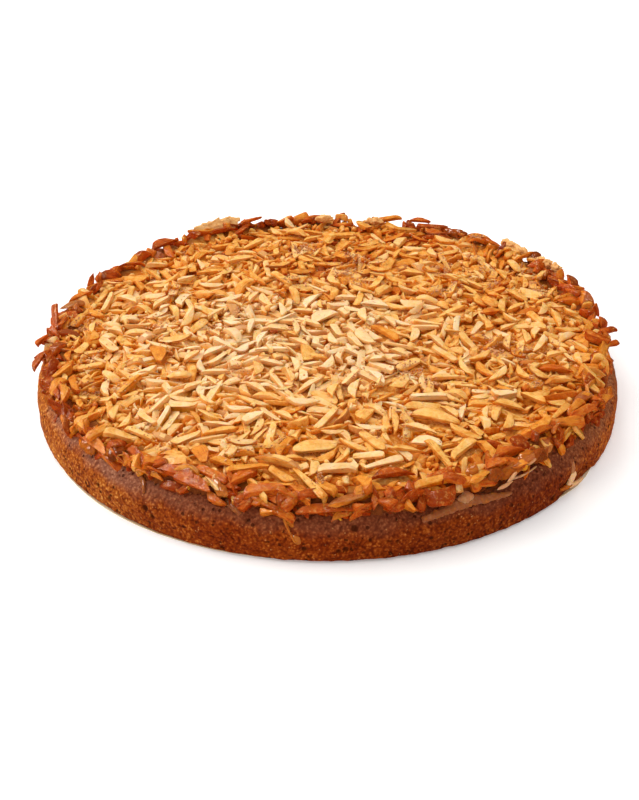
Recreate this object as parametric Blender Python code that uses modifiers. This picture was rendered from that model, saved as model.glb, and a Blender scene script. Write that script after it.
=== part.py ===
# Almond tart: a round cake base with a rounded upper edge, a loose heap of
# slivered almonds set in caramel on top of it, and the sheet of baking paper
# it was baked on. Metres, +Z up, the origin in the middle of the underside.

import math

import bpy
from mathutils import Vector, noise

# Driving sizes
TART_RADIUS = 0.130
BASE_TOP = 0.0205
SHOULDER_RADIUS = 0.012
FOOT_ROUND = 0.0012
FOOT_INSET = 0.0008
HEAP_RIM_HEIGHT = 0.0268
HEAP_CENTRE_HEIGHT = 0.0322
HEAP_SIDE = 0.0048
PAPER_THICKNESS = 0.0004
GAP = 0.0003

# How finely the round parts are divided
SEGMENTS = 104
SHOULDER_STEPS = 7
HEAP_RINGS = 20
SIDE_STEPS = 5

# Unevenness of the baked parts
WALL_WAVE = 0.0006
WALL_WAVE_SIZE = 0.045
LUMP_HEIGHT = 0.0016
LUMP_SIZE = 0.021
SMALL_LUMP_HEIGHT = 0.0011
SMALL_LUMP_SIZE = 0.011
EDGE_LUMP = 0.14
EDGE_LUMP_SIZE = 0.020
SMALL_EDGE_LUMP = 0.12
SMALL_EDGE_LUMP_SIZE = 0.009
EDGE_ANGLE = math.radians(35)
PAPER_WAVE = 0.0004

# Where the almonds reach further down the shoulder, or stop short of it:
# direction and half width in degrees, share added to the edge angle
EDGE_REACH = (
    (184, 9, 0.16),
    (205, 18, 0.28),
    (229, 9, -0.18),
    (250, 11, -0.20),
    (265, 9, 0.08),
    (277, 5, -0.16),
    (284, 8, 0.22),
    (308, 6, -0.20),
    (320, 8, -0.20),
    (332, 9, 0.22),
    (347, 18, -0.26),
    (130, 26, -0.12),
    (20, 24, 0.12),
    (75, 22, 0.12),
)

# Where the heap stands higher along its rim: direction and half width in degrees,
# height added, and the share of the tart's radius over which it comes in
RIM_RISE = (
    (44, 34, 0.0036),
    (53, 9, 0.0016),
    (74, 9, 0.0015),
    (116, 9, 0.0034),
    (130, 8, 0.0016),
)
RIM_START = 0.84
RIM_FULL = 0.94

# Where the paper shows past the foot of the cake: direction and half width in
# degrees, distance added to its radius
PAPER_REACH = (
    (228, 42, 0.0019),
    (323, 9, 0.0015),
)

# The nick in the foot of the cake: direction and half width in degrees
NICK_DIRECTION = 322
NICK_HALF_WIDTH = 7
NICK_DEPTH = 0.0045
NICK_HEIGHT = 0.008

# Worked out from the driving sizes
SHOULDER_CENTRE_R = TART_RADIUS - SHOULDER_RADIUS
SHOULDER_CENTRE_Z = BASE_TOP - SHOULDER_RADIUS
BASE_BOTTOM = PAPER_THICKNESS + GAP
FOOT_RADIUS = TART_RADIUS - FOOT_INSET
PAPER_RADIUS = FOOT_RADIUS - FOOT_ROUND


def clear_scene():
    for obj in list(bpy.data.objects):
        bpy.data.objects.remove(obj, do_unlink=True)


def make_collection(name):
    collection = bpy.data.collections.new(name)
    bpy.context.scene.collection.children.link(collection)
    return collection


def make_material(name, color, roughness):
    material = bpy.data.materials.new(name)
    material.use_nodes = True
    shader = material.node_tree.nodes["Principled BSDF"]
    shader.inputs["Base Color"].default_value = (*color, 1.0)
    shader.inputs["Roughness"].default_value = roughness
    shader.inputs["Metallic"].default_value = 0.0
    material.diffuse_color = (*color, 1.0)
    return material


def shoulder_point(angle, lift=0.0):
    # angle 0 is straight up from the shoulder's centre, 90 degrees straight out
    reach = SHOULDER_RADIUS + lift
    radius = SHOULDER_CENTRE_R + reach * math.sin(angle)
    height = SHOULDER_CENTRE_Z + reach * math.cos(angle)
    return radius, height


def base_profile():
    points = [(0.0, BASE_TOP), (0.045, BASE_TOP), (0.085, BASE_TOP)]
    for step in range(SHOULDER_STEPS + 1):
        points.append(shoulder_point(math.radians(90) * step / SHOULDER_STEPS))
    points.append((TART_RADIUS - FOOT_INSET * 0.3, BASE_TOP * 0.24))
    for step in range(4):
        angle = math.radians(90) * step / 3
        radius = FOOT_RADIUS - FOOT_ROUND * (1 - math.cos(angle))
        height = BASE_BOTTOM + FOOT_ROUND * (1 - math.sin(angle))
        points.append((radius, height))
    points += [(0.085, BASE_BOTTOM), (0.045, BASE_BOTTOM), (0.0, BASE_BOTTOM)]
    return points


def heap_profile():
    # the crown, from the middle to the rim
    rim_radius = SHOULDER_CENTRE_R + HEAP_SIDE
    points = []
    for ring in range(HEAP_RINGS):
        share = ring / (HEAP_RINGS - 1)
        height = HEAP_CENTRE_HEIGHT - (HEAP_CENTRE_HEIGHT - HEAP_RIM_HEIGHT) * share ** 2
        points.append((rim_radius * share, height))
    crown_count = len(points)
    # the side, rounding over and down to the edge on the shoulder
    edge_radius, edge_height = shoulder_point(EDGE_ANGLE, GAP)
    for step in range(1, SIDE_STEPS + 1):
        angle = math.radians(90) * step / SIDE_STEPS
        radius = rim_radius + (edge_radius + HEAP_SIDE * 0.2 - rim_radius) * math.sin(angle)
        height = edge_height + (HEAP_RIM_HEIGHT - edge_height) * math.cos(angle)
        points.append((radius, height))
    side_count = len(points)
    # the underside, back over the shoulder and across the cake
    for step in range(4):
        points.append(shoulder_point(EDGE_ANGLE * (1 - step / 3), GAP))
    flat = BASE_TOP + GAP
    points += [(0.085, flat), (0.045, flat), (0.0, flat)]
    weights = []
    for index in range(len(points)):
        if index < crown_count:
            weights.append(1.0)
        elif index < side_count - 1:
            weights.append(0.6)
        else:
            weights.append(0.0)
    return points, weights


def paper_profile():
    top = [(0.0, PAPER_THICKNESS), (PAPER_RADIUS, PAPER_THICKNESS)]
    return top + [(PAPER_RADIUS, 0.0), (0.0, 0.0)]


def turn_profile(name, points, collection, material, weights=None):
    mesh = bpy.data.meshes.new(name)
    verts = [(radius, 0.0, height) for radius, height in points]
    edges = [(index, index + 1) for index in range(len(points) - 1)]
    mesh.from_pydata(verts, edges, [])
    obj = bpy.data.objects.new(name, mesh)
    collection.objects.link(obj)
    if weights:
        group = obj.vertex_groups.new(name="crown")
        for index, weight in enumerate(weights):
            group.add([index], weight, "REPLACE")
    screw = obj.modifiers.new("Screw", "SCREW")
    screw.steps = SEGMENTS
    screw.render_steps = SEGMENTS
    screw.use_merge_vertices = True
    screw.merge_threshold = 0.00005
    screw.use_smooth_shade = True
    bpy.context.view_layer.objects.active = obj
    bpy.ops.object.modifier_apply(modifier=screw.name)
    obj.data.materials.append(material)
    return obj


def angle_between(first, second):
    return abs((first - second + 180) % 360 - 180)


def bump(distance, half_width):
    # 1 in the middle, smoothly down to 0 at the half width
    if distance >= half_width:
        return 0.0
    return 0.5 + 0.5 * math.cos(math.pi * distance / half_width)


def wall_wave(x, y):
    # the same wave moves the cake's edge and the almonds over it, so they stay apart
    share = min(math.hypot(x, y) / TART_RADIUS, 1.0)
    return WALL_WAVE * around_noise(x, y, WALL_WAVE_SIZE, 0.0) * share ** 4


def reach_at(places, degrees):
    total = 0.0
    for direction, half_width, amount in places:
        total += amount * bump(angle_between(degrees, direction), half_width)
    return total


def around_noise(x, y, lump_size, seed):
    # noise that depends only on the direction, in lumps of one size along the edge
    radius = math.hypot(x, y)
    size = radius * lump_size / TART_RADIUS
    return noise.noise(Vector((x / size, y / size, seed)))


def shape_base(obj):
    for vert in obj.data.vertices:
        x, y, z = vert.co
        radius = math.hypot(x, y)
        if radius < 1e-6:
            continue
        degrees = math.degrees(math.atan2(y, x))
        nick = bump(angle_between(degrees, NICK_DIRECTION), NICK_HALF_WIDTH)
        low = max(0.0, 1 - z / NICK_HEIGHT)
        outer = max(0.0, radius / FOOT_RADIUS - 0.9) * 10
        grown = radius + wall_wave(x, y) - NICK_DEPTH * nick * low * min(outer, 1.0)
        vert.co = (x * grown / radius, y * grown / radius, z)


def heap_relief(x, y):
    coarse = noise.noise(Vector((x / LUMP_SIZE, y / LUMP_SIZE, 3.7)))
    fine = noise.noise(Vector((x / SMALL_LUMP_SIZE, y / SMALL_LUMP_SIZE, 9.1)))
    share = (math.hypot(x, y) / TART_RADIUS - RIM_START) / (RIM_FULL - RIM_START)
    rise = reach_at(RIM_RISE, math.degrees(math.atan2(y, x))) * min(max(share, 0.0), 1.0)
    return LUMP_HEIGHT * coarse + SMALL_LUMP_HEIGHT * fine + rise


def slide_on_shoulder(radius, height, share):
    # turns a point about the shoulder's centre, which keeps the underside on the shoulder
    out = radius - SHOULDER_CENTRE_R
    up = height - SHOULDER_CENTRE_Z
    if out <= 0:
        return radius, height
    reach = math.hypot(out, up)
    angle = math.atan2(out, up) * (1 + share)
    return SHOULDER_CENTRE_R + reach * math.sin(angle), SHOULDER_CENTRE_Z + reach * math.cos(angle)


def shape_heap(obj):
    group = obj.vertex_groups["crown"].index
    for vert in obj.data.vertices:
        x, y, z = vert.co
        radius = math.hypot(x, y)
        weight = 0.0
        for entry in vert.groups:
            if entry.group == group:
                weight = entry.weight
        lifted = z + heap_relief(x, y) * weight
        if radius < 1e-6:
            vert.co = (x, y, lifted)
            continue
        share = reach_at(EDGE_REACH, math.degrees(math.atan2(y, x)))
        share += EDGE_LUMP * around_noise(x, y, EDGE_LUMP_SIZE, 2.6)
        share += SMALL_EDGE_LUMP * around_noise(x, y, SMALL_EDGE_LUMP_SIZE, 5.2)
        slid, height = slide_on_shoulder(radius, lifted, share)
        slid += wall_wave(x, y)
        vert.co = (x * slid / radius, y * slid / radius, height)


def shape_paper(obj):
    for vert in obj.data.vertices:
        x, y, z = vert.co
        radius = math.hypot(x, y)
        if radius < 1e-6:
            continue
        grown = radius + reach_at(PAPER_REACH, math.degrees(math.atan2(y, x)))
        grown += PAPER_WAVE * around_noise(x, y, WALL_WAVE_SIZE, 7.5)
        vert.co = (x * grown / radius, y * grown / radius, z)


def centre_parts(parts):
    # puts the middle of the whole outline over the origin
    xs = [vert.co.x for obj in parts for vert in obj.data.vertices]
    ys = [vert.co.y for obj in parts for vert in obj.data.vertices]
    shift = Vector(((max(xs) + min(xs)) / 2, (max(ys) + min(ys)) / 2, 0.0))
    for obj in parts:
        for vert in obj.data.vertices:
            vert.co -= shift
        obj.data.update()


def main():
    clear_scene()
    tart = make_collection("almond_tart")
    baked = make_material("baked_cake", (0.42, 0.16, 0.05), 0.75)
    almonds = make_material("caramel_almonds", (0.78, 0.42, 0.14), 0.45)
    paper = make_material("baking_paper", (0.82, 0.72, 0.52), 0.6)

    base = turn_profile("cake_base", base_profile(), tart, baked)
    shape_base(base)

    heap_points, crown = heap_profile()
    heap = turn_profile("almond_topping", heap_points, tart, almonds, crown)
    shape_heap(heap)

    sheet = turn_profile("baking_paper", paper_profile(), tart, paper)
    shape_paper(sheet)

    centre_parts([base, heap, sheet])


main()
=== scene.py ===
import math

import bmesh
import bpy
import numpy as np
from mathutils import Matrix, Vector, noise
from mathutils.bvhtree import BVHTree
from mathutils.kdtree import KDTree


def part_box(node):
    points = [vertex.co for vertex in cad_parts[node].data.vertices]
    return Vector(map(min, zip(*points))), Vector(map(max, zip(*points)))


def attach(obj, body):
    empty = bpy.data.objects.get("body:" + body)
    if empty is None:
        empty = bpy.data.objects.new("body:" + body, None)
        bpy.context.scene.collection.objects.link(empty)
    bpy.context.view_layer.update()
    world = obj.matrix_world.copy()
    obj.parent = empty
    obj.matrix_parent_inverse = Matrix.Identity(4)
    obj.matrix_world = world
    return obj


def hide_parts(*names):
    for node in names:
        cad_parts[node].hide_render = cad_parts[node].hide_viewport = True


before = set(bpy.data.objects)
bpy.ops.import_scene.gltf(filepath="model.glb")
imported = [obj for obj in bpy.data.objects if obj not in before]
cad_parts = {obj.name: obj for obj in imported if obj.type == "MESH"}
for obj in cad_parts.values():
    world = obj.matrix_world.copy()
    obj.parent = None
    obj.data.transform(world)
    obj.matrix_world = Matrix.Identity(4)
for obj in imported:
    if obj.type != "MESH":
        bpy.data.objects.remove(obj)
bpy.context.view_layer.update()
print("frame loaded")

cakeLow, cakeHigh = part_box("cake_base")
tartRadius = (cakeHigh[0] - cakeLow[0] + cakeHigh[1] - cakeLow[1]) / 4


def deselectAll():
    if bpy.context.mode != "OBJECT":
        bpy.ops.object.mode_set(mode="OBJECT")
    bpy.ops.object.select_all(action="DESELECT")


def takeUp(obj):
    deselectAll()
    obj.select_set(True)
    bpy.context.view_layer.objects.active = obj


def editMode(obj):
    takeUp(obj)
    bpy.ops.object.mode_set(mode="EDIT")
    bpy.ops.mesh.select_all(action="DESELECT")


def objectMode():
    bpy.ops.object.mode_set(mode="OBJECT")


def selectEdges(obj, test):
    # selects the edges whose two ends pass the test, in edit mode
    bpy.ops.mesh.select_mode(type="EDGE")
    mesh = bmesh.from_edit_mesh(obj.data)
    for edge in mesh.edges:
        edge.select_set(test(edge.verts[0].co, edge.verts[1].co))
    mesh.select_flush_mode()
    bmesh.update_edit_mesh(obj.data)


def applyModifier(obj, kind, **settings):
    takeUp(obj)
    modifier = obj.modifiers.new(kind.title(), kind)
    for key, value in settings.items():
        setattr(modifier, key, value)
    bpy.ops.object.modifier_apply(modifier=modifier.name)


def newPiece(name):
    # what an operator has just added
    piece = bpy.context.object
    piece.name = name
    return piece


def settle(obj):
    # puts a piece's place into its mesh
    takeUp(obj)
    bpy.ops.object.transform_apply(location=True, rotation=True, scale=True)


def getPoints(obj, what="co"):
    points = np.empty(len(obj.data.vertices) * 3)
    obj.data.vertices.foreach_get(what, points)
    return points.reshape(-1, 3)


def setPoints(obj, points):
    obj.data.vertices.foreach_set("co", points.ravel())
    obj.data.update()


def setValues(mesh, name, values):
    layer = mesh.attributes.get(name) or mesh.attributes.new(name, "FLOAT", "POINT")
    layer.data.foreach_set("value", np.broadcast_to(values, len(mesh.vertices)).astype(np.float32))


def closeSheet(obj, skirt=0.0):
    # closes an open sheet along its border, below a skirt if it has one
    editMode(obj)
    bpy.ops.mesh.select_mode(type="EDGE")
    bpy.ops.mesh.select_all(action="SELECT")
    bpy.ops.mesh.region_to_loop()
    if skirt:
        bpy.ops.mesh.extrude_edges_move(TRANSFORM_OT_translate={"value": (0, 0, -skirt)})
    bpy.ops.mesh.edge_face_add()
    bpy.ops.mesh.select_all(action="SELECT")
    bpy.ops.mesh.normals_make_consistent(inside=False)
    objectMode()
    obj.data.shade_smooth()


def joinParts(parts, name):
    deselectAll()
    for part in parts:
        part.select_set(True)
    bpy.context.view_layer.objects.active = parts[0]
    bpy.ops.object.join()
    return newPiece(name)


def removeAll(objects):
    for obj in objects:
        bpy.data.objects.remove(obj, do_unlink=True)


def smooth(share):
    share = np.clip(share, 0, 1)
    return share * share * (3 - 2 * share)


def awayFrom(degrees, direction):
    # the angle between two directions, in degrees
    return abs((degrees - direction + 180) % 360 - 180)


def lumps(points, size, seed):
    # soft noise from about -1 to 1, in lumps of one size
    at = Vector((seed * 7.3, seed * 3.1, seed * 5.7))
    return np.array([noise.noise(Vector(point) / size + at) for point in points])


camera = {
    "lens": 60,  # mm
    "sensor": 36,  # mm, along the longer side
    "distance": 4.714,  # in radii of the tart
    "elevation": 31.4,  # degrees down onto the tart
    "frameSize": (639, 800),  # pixels
    "originSpot": (327.5, 384.0),  # where the middle of the underside falls, in pixels
}

studio = {
    "floorSize": 8.0,
    "floorColor": (0.93, 0.93, 0.93),
    "floorGlow": 0.17,
    "skyColor": (1.0, 0.985, 0.97),
    "skyBack": 1.12,  # how bright the room is behind the tart
    "skyFront": 0.64,  # and on the camera's side
    "skyTurn": (-0.9, 0.3),  # where it changes from front to back, along Y
    # lamps: place, size, power and colour; the glints only make highlights
    "key": ((-0.95, 0.45, 1.15), 2.0, 19.4, (1.0, 0.97, 0.92)),
    "fill": ((-0.3, -1.1, 0.8), 1.4, 0.9, (1.0, 0.97, 0.94)),
    "glints": (
        ((-0.75, -0.10, 1.10), 0.55, 16.0, (1.0, 0.97, 0.92)),
        ((-1.15, 0.05, 0.78), 0.40, 10.0, (1.0, 0.97, 0.92)),
    ),
}


def makeCamera():
    data = bpy.data.cameras.new("camera")
    eye = bpy.data.objects.new("camera", data)
    bpy.context.collection.objects.link(eye)
    tilt = math.radians(camera["elevation"])
    reach = camera["distance"] * tartRadius
    eye.location = (0, -reach * math.cos(tilt), reach * math.sin(tilt))
    eye.rotation_euler = (math.radians(90) - tilt, 0, 0)
    width, height = camera["frameSize"]
    spotX, spotY = camera["originSpot"]
    data.lens = camera["lens"]
    data.sensor_width = camera["sensor"]
    data.shift_x = (width / 2 - spotX) / height
    data.shift_y = (spotY - height / 2) / height
    data.clip_start = 0.01
    bpy.context.scene.camera = eye


def makeLight(name, place, size, power, color):
    data = bpy.data.lights.new(name, "AREA")
    data.shape = "DISK"
    data.size = size
    data.energy = power
    data.color = color
    light = bpy.data.objects.new(name, data)
    light.location = place
    light.rotation_euler = (-Vector(place)).to_track_quat("-Z", "Y").to_euler()
    bpy.context.collection.objects.link(light)
    return light


def makeStudio():
    scene = bpy.context.scene
    scene.view_settings.view_transform = "Standard"
    world = bpy.data.worlds.new("softRoom")
    scene.world = world
    world.use_nodes = True
    sky = world.node_tree.nodes["Background"]
    nodes = Nodes(world.node_tree)
    way = nodes.add("ShaderNodeSeparateXYZ")
    nodes.link(nodes.add("ShaderNodeTexCoord").outputs["Generated"], way.inputs[0])
    strength = nodes.span(way.outputs["Y"], *studio["skyTurn"], studio["skyFront"], studio["skyBack"])
    nodes.fill(sky, {"Color": studio["skyColor"], "Strength": strength})
    world.cycles_visibility.glossy = False  # a mirrored white room would grey the dark caramel
    key = makeLight("keyLight", *studio["key"])
    key.visible_glossy = False
    makeLight("fillLight", *studio["fill"])
    for lamp in studio["glints"]:
        glint = makeLight("glintLight", *lamp)
        glint.visible_diffuse = False
    deselectAll()
    bpy.ops.mesh.primitive_plane_add(size=studio["floorSize"])
    floor = newPiece("floor")
    material, nodes, shader = newMaterial("paleFloor")
    nodes.fill(shader, {
        "Base Color": studio["floorColor"],
        "Roughness": 0.9,
        "Specular IOR Level": 0.1,
        "Emission Color": (1, 1, 1),
        "Emission Strength": studio["floorGlow"],
    })
    floor.data.materials.append(material)
    floor.visible_glossy = False


class Nodes:
    # adds and links the nodes of one tree
    def __init__(self, tree):
        self.tree = tree

    def add(self, kind, **settings):
        node = self.tree.nodes.new(kind)
        for key, value in settings.items():
            setattr(node, key, value)
        return node

    def link(self, source, target):
        self.tree.links.new(source, target)

    def put(self, socket, value):
        if isinstance(value, bpy.types.NodeSocket):
            self.link(value, socket)
        elif isinstance(value, (tuple, list)) and len(value) == 3 and socket.type == "RGBA":
            socket.default_value = (*value, 1)
        else:
            socket.default_value = value

    def fill(self, node, values):
        for label, value in values.items():
            self.put(node.inputs[label], value)

    def attribute(self, name, output="Fac"):
        return self.add("ShaderNodeAttribute", attribute_name=name).outputs[output]

    def coords(self):
        return self.add("ShaderNodeTexCoord").outputs["Object"]

    def mapped(self, vector, scale):
        node = self.add("ShaderNodeMapping")
        self.fill(node, {"Vector": vector, "Scale": scale})
        return node.outputs["Vector"]

    def noise(self, vector, scale, detail=3.0, roughness=0.55):
        node = self.add("ShaderNodeTexNoise")
        self.fill(node, {"Vector": vector, "Scale": scale, "Detail": detail, "Roughness": roughness})
        return node.outputs["Fac"]

    def cells(self, vector, scale, feature="F1"):
        node = self.add("ShaderNodeTexVoronoi", feature=feature)
        self.fill(node, {"Vector": vector, "Scale": scale})
        return node.outputs["Distance"]

    def span(self, value, low, high, toLow=0.0, toHigh=1.0):
        node = self.add("ShaderNodeMapRange", interpolation_type="SMOOTHSTEP")
        self.fill(node, {"Value": value, "From Min": low, "From Max": high})
        self.fill(node, {"To Min": toLow, "To Max": toHigh})
        return node.outputs["Result"]

    def math(self, operation, first, second=0.0, clamp=False):
        node = self.add("ShaderNodeMath", operation=operation, use_clamp=clamp)
        self.put(node.inputs[0], first)
        self.put(node.inputs[1], second)
        return node.outputs[0]

    def times(self, first, second):
        return self.math("MULTIPLY", first, second)

    def swayed(self, value, noise, amount):
        # a value that goes up and down with a noise
        return self.math("ADD", value, self.times(self.math("SUBTRACT", noise, 0.5), amount))

    def mix(self, share, first, second, blend="MIX"):
        node = self.add("ShaderNodeMix", data_type="RGBA", blend_type=blend)
        self.fill(node, {"Factor": share, "A": first, "B": second})
        return node.outputs["Result"]

    def ramp(self, value, stops):
        node = self.add("ShaderNodeValToRGB")
        self.put(node.inputs["Fac"], value)
        elements = node.color_ramp.elements
        while len(elements) < len(stops):
            elements.new(0.5)
        for element, (place, color) in zip(elements, stops):
            element.position = place
            element.color = (*color, 1)
        return node.outputs["Color"]

    def bump(self, height, strength, distance, normal=None):
        node = self.add("ShaderNodeBump")
        self.fill(node, {"Height": height, "Strength": strength, "Distance": distance})
        if normal is not None:
            self.link(normal, node.inputs["Normal"])
        return node.outputs["Normal"]

    def group(self, tree, values):
        node = self.add("ShaderNodeGroup", node_tree=tree)
        self.fill(node, values)
        return node.outputs[0]

    def tint(self, color, share, tint):
        return self.group(tintGroup, {"Color": color, "Share": share, "Tint": tint})

    def rimMask(self, place, start, end):
        # start and end in radii of the tart
        values = {"Place": place, "Start": tartRadius * start, "End": tartRadius * end}
        return self.group(rimGroup, values)


def newMaterial(name):
    material = bpy.data.materials.new(name)
    material.use_nodes = True
    nodes = Nodes(material.node_tree)
    return material, nodes, material.node_tree.nodes["Principled BSDF"]


def newGroup(name, inputs, outputs):
    tree = bpy.data.node_groups.new(name, "ShaderNodeTree")
    for way, sockets in (("INPUT", inputs), ("OUTPUT", outputs)):
        for label, kind in sockets.items():
            tree.interface.new_socket(label, in_out=way, socket_type="NodeSocket" + kind)
    nodes = Nodes(tree)
    return tree, nodes, nodes.add("NodeGroupInput").outputs, nodes.add("NodeGroupOutput").inputs


def makeRimGroup():
    # a mask that grows from 0 to 1 between two distances from the tart's middle
    inputs = {"Place": "Vector", "Start": "Float", "End": "Float"}
    tree, nodes, given, result = newGroup("towardsRim", inputs, {"Share": "Float"})
    away = nodes.add("ShaderNodeVectorMath", operation="LENGTH")
    nodes.link(nodes.mapped(given["Place"], (1, 1, 0)), away.inputs[0])
    nodes.link(nodes.span(away.outputs["Value"], given["Start"], given["End"]), result["Share"])
    return tree


def makeTintGroup():
    # a colour multiplied by a tint, as far as a mask says
    inputs = {"Color": "Color", "Share": "Float", "Tint": "Color"}
    tree, nodes, given, result = newGroup("tinted", inputs, {"Color": "Color"})
    full = nodes.mix(1.0, given["Color"], given["Tint"], "MULTIPLY")
    nodes.link(nodes.mix(given["Share"], given["Color"], full), result["Color"])
    return tree


rimGroup = makeRimGroup()
tintGroup = makeTintGroup()


cake = {
    "around": 1200,  # faces round the wall
    "upWall": 13,  # rows on the straight wall
    "shoulder": 0.012,  # radius of the rounded upper edge
    "shoulderRows": 22,
    "footRound": 0.0012,
    "footRows": 3,
    "bevelRoom": 0.0004,
    "roughSize": 0.0045,
    "roughHeight": 0.00028,
    "grainSize": 0.0016,
    "grainHeight": 0.00012,
    "pores": 2300,
    "poreSize": (0.0003, 0.0008),  # radius
    "bigPores": 46,
    "poreDepth": 0.75,  # in radii of the pore
    "bigPoreSize": (0.0009, 0.0017),
    # the largest holes: direction, height and size in millimetres
    "holes": (
        (225.3, 9.4, 1.4), (226.0, 15.7, 1.0), (237.0, 9.9, 1.9), (238.6, 7.6, 1.5), (256.4, 17.4, 1.5),
        (274.6, 15.7, 1.9), (272.9, 6.5, 1.6), (250.4, 14.0, 1.0), (281.7, 8.7, 1.1), (74.0, 9.0, 1.6),
        (121.0, 12.0, 1.3), (163.0, 8.0, 1.7), (18.0, 11.0, 1.4),
    ),
    "nickDirection": 322,  # the place in the foot where a piece has broken off, in degrees
    "nickHalfWidth": 7,
    "nickDepth": 0.0046,
    "nickHeight": 0.008,
    "nickRagged": 0.002,
    "seed": 4,
    # colours of the crumb, and of the darker crust under the almonds, from hollow to grain; their dark ends
    # are partly the crumb's own colour and partly painted shade in the hollows
    "crumb": (
        (0.30, (0.12, 0.013, 0.001)), (0.45, (0.22, 0.029, 0.002)),
        (0.60, (0.32, 0.056, 0.004)), (0.78, (0.58, 0.17, 0.026)),
    ),
    "crust": ((0.30, (0.13, 0.025, 0.009)), (0.55, (0.205, 0.050, 0.019)), (0.75, (0.33, 0.100, 0.042))),
    # tints of its darker patches, and painted light and shade on three of its sides
    "patches": (0.78, 0.62, 0.50),
    "paintedLightLeft": (1.85, 3.4, 5.6),
    "paintedHighlightRight": (2.1, 3.0, 2.5),
    "paintedShadeFrontRight": (0.76, 0.68, 0.68),
    "sugar": (0.72, 0.34, 0.12),
    # painted shade inside the pinholes and the modelled pores
    "pinholeShade": (0.060, 0.007, 0.001),
    "poreShade": (0.055, 0.007, 0.001),
}


def makeCake():
    height = cakeHigh[2] - cakeLow[2]
    deselectAll()
    bpy.ops.mesh.primitive_cylinder_add(
        vertices=cake["around"], radius=tartRadius, depth=height,
        location=(0, 0, (cakeHigh[2] + cakeLow[2]) / 2), end_fill_type="NGON")
    base = newPiece("cakeBase")
    settle(base)
    editMode(base)
    selectEdges(base, lambda a, b: abs(a.z - b.z) > height / 2)
    bpy.ops.mesh.subdivide_edgering(number_cuts=cake["upWall"], interpolation="LINEAR")
    top = cakeHigh[2]
    low = cakeLow[2]
    objectMode()
    # the rows are moved to where the wall is straight, so that the bevels have room
    points = getPoints(base)
    straightTop = top - cake["shoulder"] - cake["bevelRoom"]
    straightLow = low + cake["footRound"] + cake["bevelRoom"]
    share = (points[:, 2] - low) / height
    inner = (share > 0.001) & (share < 0.999)
    row = share[inner] * (cake["upWall"] + 1) - 1
    points[inner, 2] = straightLow + (straightTop - straightLow) * row / (cake["upWall"] - 1)
    setPoints(base, points)
    editMode(base)
    selectEdges(base, lambda a, b: min(a.z, b.z) > top - 1e-5)
    bpy.ops.mesh.bevel(offset=cake["shoulder"], segments=cake["shoulderRows"], profile=0.5, affect="EDGES")
    selectEdges(base, lambda a, b: max(a.z, b.z) < low + 1e-5)
    bpy.ops.mesh.bevel(offset=cake["footRound"], segments=cake["footRows"], profile=0.5, affect="EDGES")
    objectMode()
    roughenCake(base)
    return base


def roughenCake(base):
    chance = np.random.default_rng(cake["seed"])
    points = getPoints(base)
    radius = np.hypot(points[:, 0], points[:, 1])
    degrees = np.degrees(np.arctan2(points[:, 1], points[:, 0]))
    outer = smooth((radius - tartRadius * 0.88) / (tartRadius * 0.04))  # the wall and its shoulder
    underside = points[:, 2] < cakeLow[2] + 1e-5
    push = cake["roughHeight"] * lumps(points, cake["roughSize"], 1)
    push += cake["grainHeight"] * lumps(points, cake["grainSize"], 2)
    tree = KDTree(len(points))
    for index, point in enumerate(points):
        tree.insert(point, index)
    tree.balance()
    pore = np.zeros(len(points))
    edgeHeight = cakeHigh[2] - cakeLow[2]
    spots = [(math.radians(turn), height / 1000, size / 1000) for turn, height, size in cake["holes"]]
    for number in range(cake["pores"] + cake["bigPores"]):
        big = number < cake["bigPores"]
        size = chance.uniform(*(cake["bigPoreSize"] if big else cake["poreSize"]))
        rise = chance.uniform(0.03, 0.75 if big else 1.0) * edgeHeight
        spots.append((chance.uniform(0, 2 * math.pi), cakeLow[2] + rise, size))
    for angle, height, size in spots:
        center = Vector((math.cos(angle) * tartRadius, math.sin(angle) * tartRadius, height))
        near = tree.find(center)[0]
        stretch = chance.uniform(0.6, 1.0)
        for spot, index, distance in tree.find_range(near, size):
            depth = size * cake["poreDepth"] * stretch * (1 - (distance / size) ** 2)
            pore[index] = max(pore[index], depth)
    push -= pore
    nick = np.clip(1 - awayFrom(degrees, cake["nickDirection"]) / cake["nickHalfWidth"], 0, None)
    low = np.clip(1 - (points[:, 2] - cakeLow[2]) / cake["nickHeight"], 0, 1)
    ragged = 1 + 0.5 * lumps(points, cake["nickRagged"], 3)
    push -= cake["nickDepth"] * smooth(nick * 1.6) * low * ragged
    moved = points + getPoints(base, "normal") * (push * outer)[:, None]
    moved[underside, 2] = points[underside, 2]
    setPoints(base, moved)
    setValues(base.data, "pore", pore / cake["bigPoreSize"][1])
    base.data.shade_smooth()


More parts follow.
